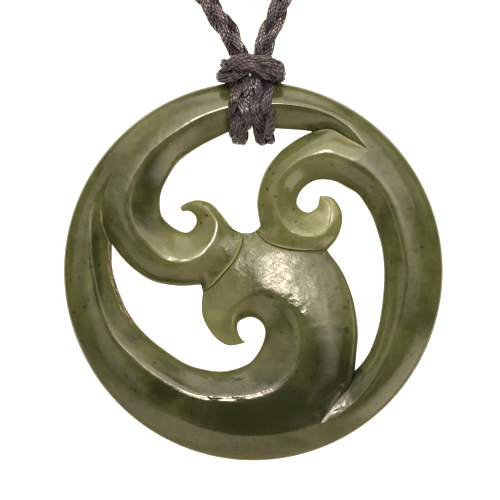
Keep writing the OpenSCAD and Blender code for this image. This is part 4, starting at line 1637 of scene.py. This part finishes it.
@dataclass(frozen=True)
class Binding:
    """Plain dark waxed thread for the binding at the nape."""

    base: tuple = colour(0.014, 0.01, 0.01)
    lighter_patch: tuple = colour(0.05, 0.04, 0.038)

    def make(self) -> bpy.types.Material:
        """A plain waxed black with a little wear.

        Returns:
            The material.
        """
        bench = Bench("binding_thread")
        worn = bench.noise(bench.place(), 1500, detail=3)
        shade = bench.blend(worn.ramp(0.4, 0.7), self.base, self.lighter_patch)
        return bench.finish({
            "Base Color": shade,
            "Roughness": worn * 0.3 + 0.32,
            "Normal": bench.bump(worn, 0.5, 0.00004),
        })


@dataclass
class SoftPanel:
    """One soft studio panel, placed by the angles at which the stone sees it."""

    name: str
    side: float
    up: float
    wide: float
    tall: float
    radiance: float
    distance: float = 900.0
    tint: tuple[float, float, float] = (1.0, 0.87, 0.66)
    layers: tuple[float, ...] = (0.78, 0.95, 1.1, 1.25)
    layer_gap: float = 5.0

    def light(self) -> None:
        """Hangs the panel as a few lamps, one close behind the other, so that its edge is soft."""
        off_axis = math.radians(math.hypot(self.side, self.up))
        around = math.atan2(self.up, self.side)
        way = Vector((
            math.sin(off_axis) * math.cos(around),
            -math.cos(off_axis),
            math.sin(off_axis) * math.sin(around),
        ))
        for layer, share in enumerate(self.layers):
            data = bpy.data.lights.new(f"{self.name}_{layer}", "AREA")
            data.shape = "RECTANGLE"
            data.size = 2 * share * self.distance * math.tan(math.radians(self.wide / 2)) * MM
            data.size_y = 2 * share * self.distance * math.tan(math.radians(self.tall / 2)) * MM
            data.energy = self.radiance / len(self.layers) * math.pi * data.size * data.size_y
            data.color = self.tint
            lamp = bpy.data.objects.new(data.name, data)
            bpy.context.scene.collection.objects.link(lamp)
            lamp.location = (Vector(STONE_AT) + way * (self.distance + self.layer_gap * layer)) * MM
            lamp.rotation_euler = way.to_track_quat("Z", "Y").to_euler()


@dataclass
class Studio:
    """Floor, backdrop, lights and the camera in front of the stone."""

    frame_width: float = 72.3
    frame_centre: tuple[float, float] = (-0.48, 3.04)
    camera_distance: float = 700.0
    sensor: float = 36.0
    floor_drop: float = 450.0
    floor_front: float = 470.0
    floor_back: float = 900.0
    sweep_width: float = 2400.0
    sweep_height: float = 1800.0
    sweep_round: float = 300.0
    sweep_steps: int = 12
    paper: tuple = colour(0.6, 0.56, 0.44)
    paper_lit: tuple = colour(1.0, 0.97, 0.93)
    lit_strength: float = 1.05
    room: tuple = colour(1.0, 0.88, 0.68)
    room_strength: float = 0.08
    panels: list[SoftPanel] = field(default_factory=lambda: [
        SoftPanel("key", 3, 33, 46, 42, 4.3),
        SoftPanel("key_side", 38, 36, 20, 28, 2.3),
        SoftPanel("glow", 2, 20, 16, 14, 2.5),
        SoftPanel("spark", 1, 21, 13, 11, 34.0, tint=(1.0, 0.88, 0.75)),
        SoftPanel("overhead", 6, 78, 42, 34, 2.8),
        SoftPanel("right_high", 62, 46, 28, 34, 0.8),
        SoftPanel("left_fill", -35, 4, 22, 56, 1.15),
        SoftPanel("left_far", -60, 22, 26, 40, 1.0),
        SoftPanel("right_fill", 28, 8, 22, 24, 1.9, layers=(0.5, 0.85, 1.2, 1.55)),
        SoftPanel("left_high", -42, 66, 50, 34, 1.3),
        SoftPanel("under", 18, -26, 18, 14, 0.45),
        SoftPanel("low_left", -36, -62, 60, 32, 0.55, 450.0),
        SoftPanel("low_right", 66, -52, 46, 30, 1.9, 450.0),
    ])

    def camera(self) -> None:
        """Stands the camera square to the stone at the photograph's framing."""
        data = bpy.data.cameras.new("camera")
        data.sensor_width = self.sensor
        data.lens = self.sensor * self.camera_distance / self.frame_width
        data.clip_start, data.clip_end = 0.01, 20.0
        camera = bpy.data.objects.new("camera", data)
        bpy.context.scene.collection.objects.link(camera)
        across, up = self.frame_centre
        camera.location = Vector((STONE_AT + np.array([across, -self.camera_distance, up])) * MM)
        camera.rotation_euler = (math.radians(90), 0.0, 0.0)
        bpy.context.scene.camera = camera

    def backdrop(self) -> bpy.types.Object:
        """A pale floor that sweeps up into a backdrop.

        Returns:
            The sweep.
        """
        bare_selection()
        middle = STONE_AT[1] + (self.floor_back - self.floor_front) / 2
        bpy.ops.mesh.primitive_plane_add(
            size=1.0, location=(0, middle * MM, (STONE_AT[2] - self.floor_drop) * MM)
        )
        sweep = bpy.context.object
        sweep.name = "backdrop"
        sweep.scale = (self.sweep_width * MM, (self.floor_front + self.floor_back) * MM, 1)
        settle(sweep)
        bpy.ops.object.mode_set(mode="EDIT")
        mesh = bmesh.from_edit_mesh(sweep.data)
        for edge in mesh.edges:
            edge.select = all(corner.co.y > middle * MM for corner in edge.verts)
        mesh.select_flush(True)
        bmesh.update_edit_mesh(sweep.data)
        bpy.ops.mesh.select_mode(type="EDGE")
        bpy.ops.mesh.extrude_region_move(
            TRANSFORM_OT_translate={"value": (0, 0, self.sweep_height * MM)}
        )
        bpy.ops.object.mode_set(mode="OBJECT")
        bevel = sweep.modifiers.new("sweep", "BEVEL")
        bevel.width = self.sweep_round * MM
        bevel.segments = self.sweep_steps
        bevel.limit_method = "ANGLE"
        pick(sweep)
        bpy.ops.object.modifier_apply(modifier=bevel.name)
        smooth_by_angle(sweep, 60)
        return sweep

    def paper_finish(self) -> bpy.types.Material:
        """Pale paper, which shines by itself where it rises behind the stone.

        Returns:
            The material.
        """
        bench = Bench("pale_paper")
        depth = bench.add("ShaderNodeSeparateXYZ", {}, {"Vector": bench.place()}, out="Y")
        dark = colour(0.0, 0.0, 0.0)
        return bench.finish({
            "Base Color": self.paper,
            "Roughness": 0.9,
            "Emission Color": bench.blend(depth.ramp(0.35, 0.6), dark, self.paper_lit),
            "Emission Strength": self.lit_strength,
        })

    def build(self) -> None:
        """Sets up everything round the pendant."""
        self.camera()
        dress(self.backdrop(), self.paper_finish())
        for panel in self.panels:
            panel.light()
        world = bpy.data.worlds.new("studio")
        world.use_nodes = True
        background = world.node_tree.nodes["Background"]
        background.inputs["Color"].default_value = self.room
        background.inputs["Strength"].default_value = self.room_strength
        bpy.context.scene.world = world
        bpy.context.scene.view_settings.view_transform = "Standard"


def dress(piece: bpy.types.Object, material: bpy.types.Material) -> None:
    """Gives the piece one material all over."""
    piece.data.materials.clear()
    piece.data.materials.append(material)


def hang(piece: bpy.types.Object, node: str) -> None:
    """Lets the piece stand for a CAD node and ride with it.

    Args:
        piece: the finished piece.
        node: the CAD node that it replaces.
    """
    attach(piece, BODY)
    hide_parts(node)
    piece.data.calc_loop_triangles()
    log.info("%s stands for %s: %d triangles", piece.name, node, len(piece.data.loop_triangles))


def main() -> None:
    """Builds the stone, the plait and the whipping in order, and lights them."""
    logging.basicConfig(level=logging.INFO, format="%(name)s: %(message)s")
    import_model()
    Studio().build()

    stone = CarvedStone().build()
    dress(stone, Greenstone().make())
    hang(stone, "koru_disc")

    thread = WaxedThread().make()
    for number, strand in enumerate(WaxedPlait(Route()).build(), 1):
        dress(strand, thread)
        hang(strand, f"strand_{number}")

    whipping = NapeWhipping().build()
    dress(whipping, Binding().make())
    hang(whipping, "nape_sleeve")


if __name__ == "__main__":
    main()
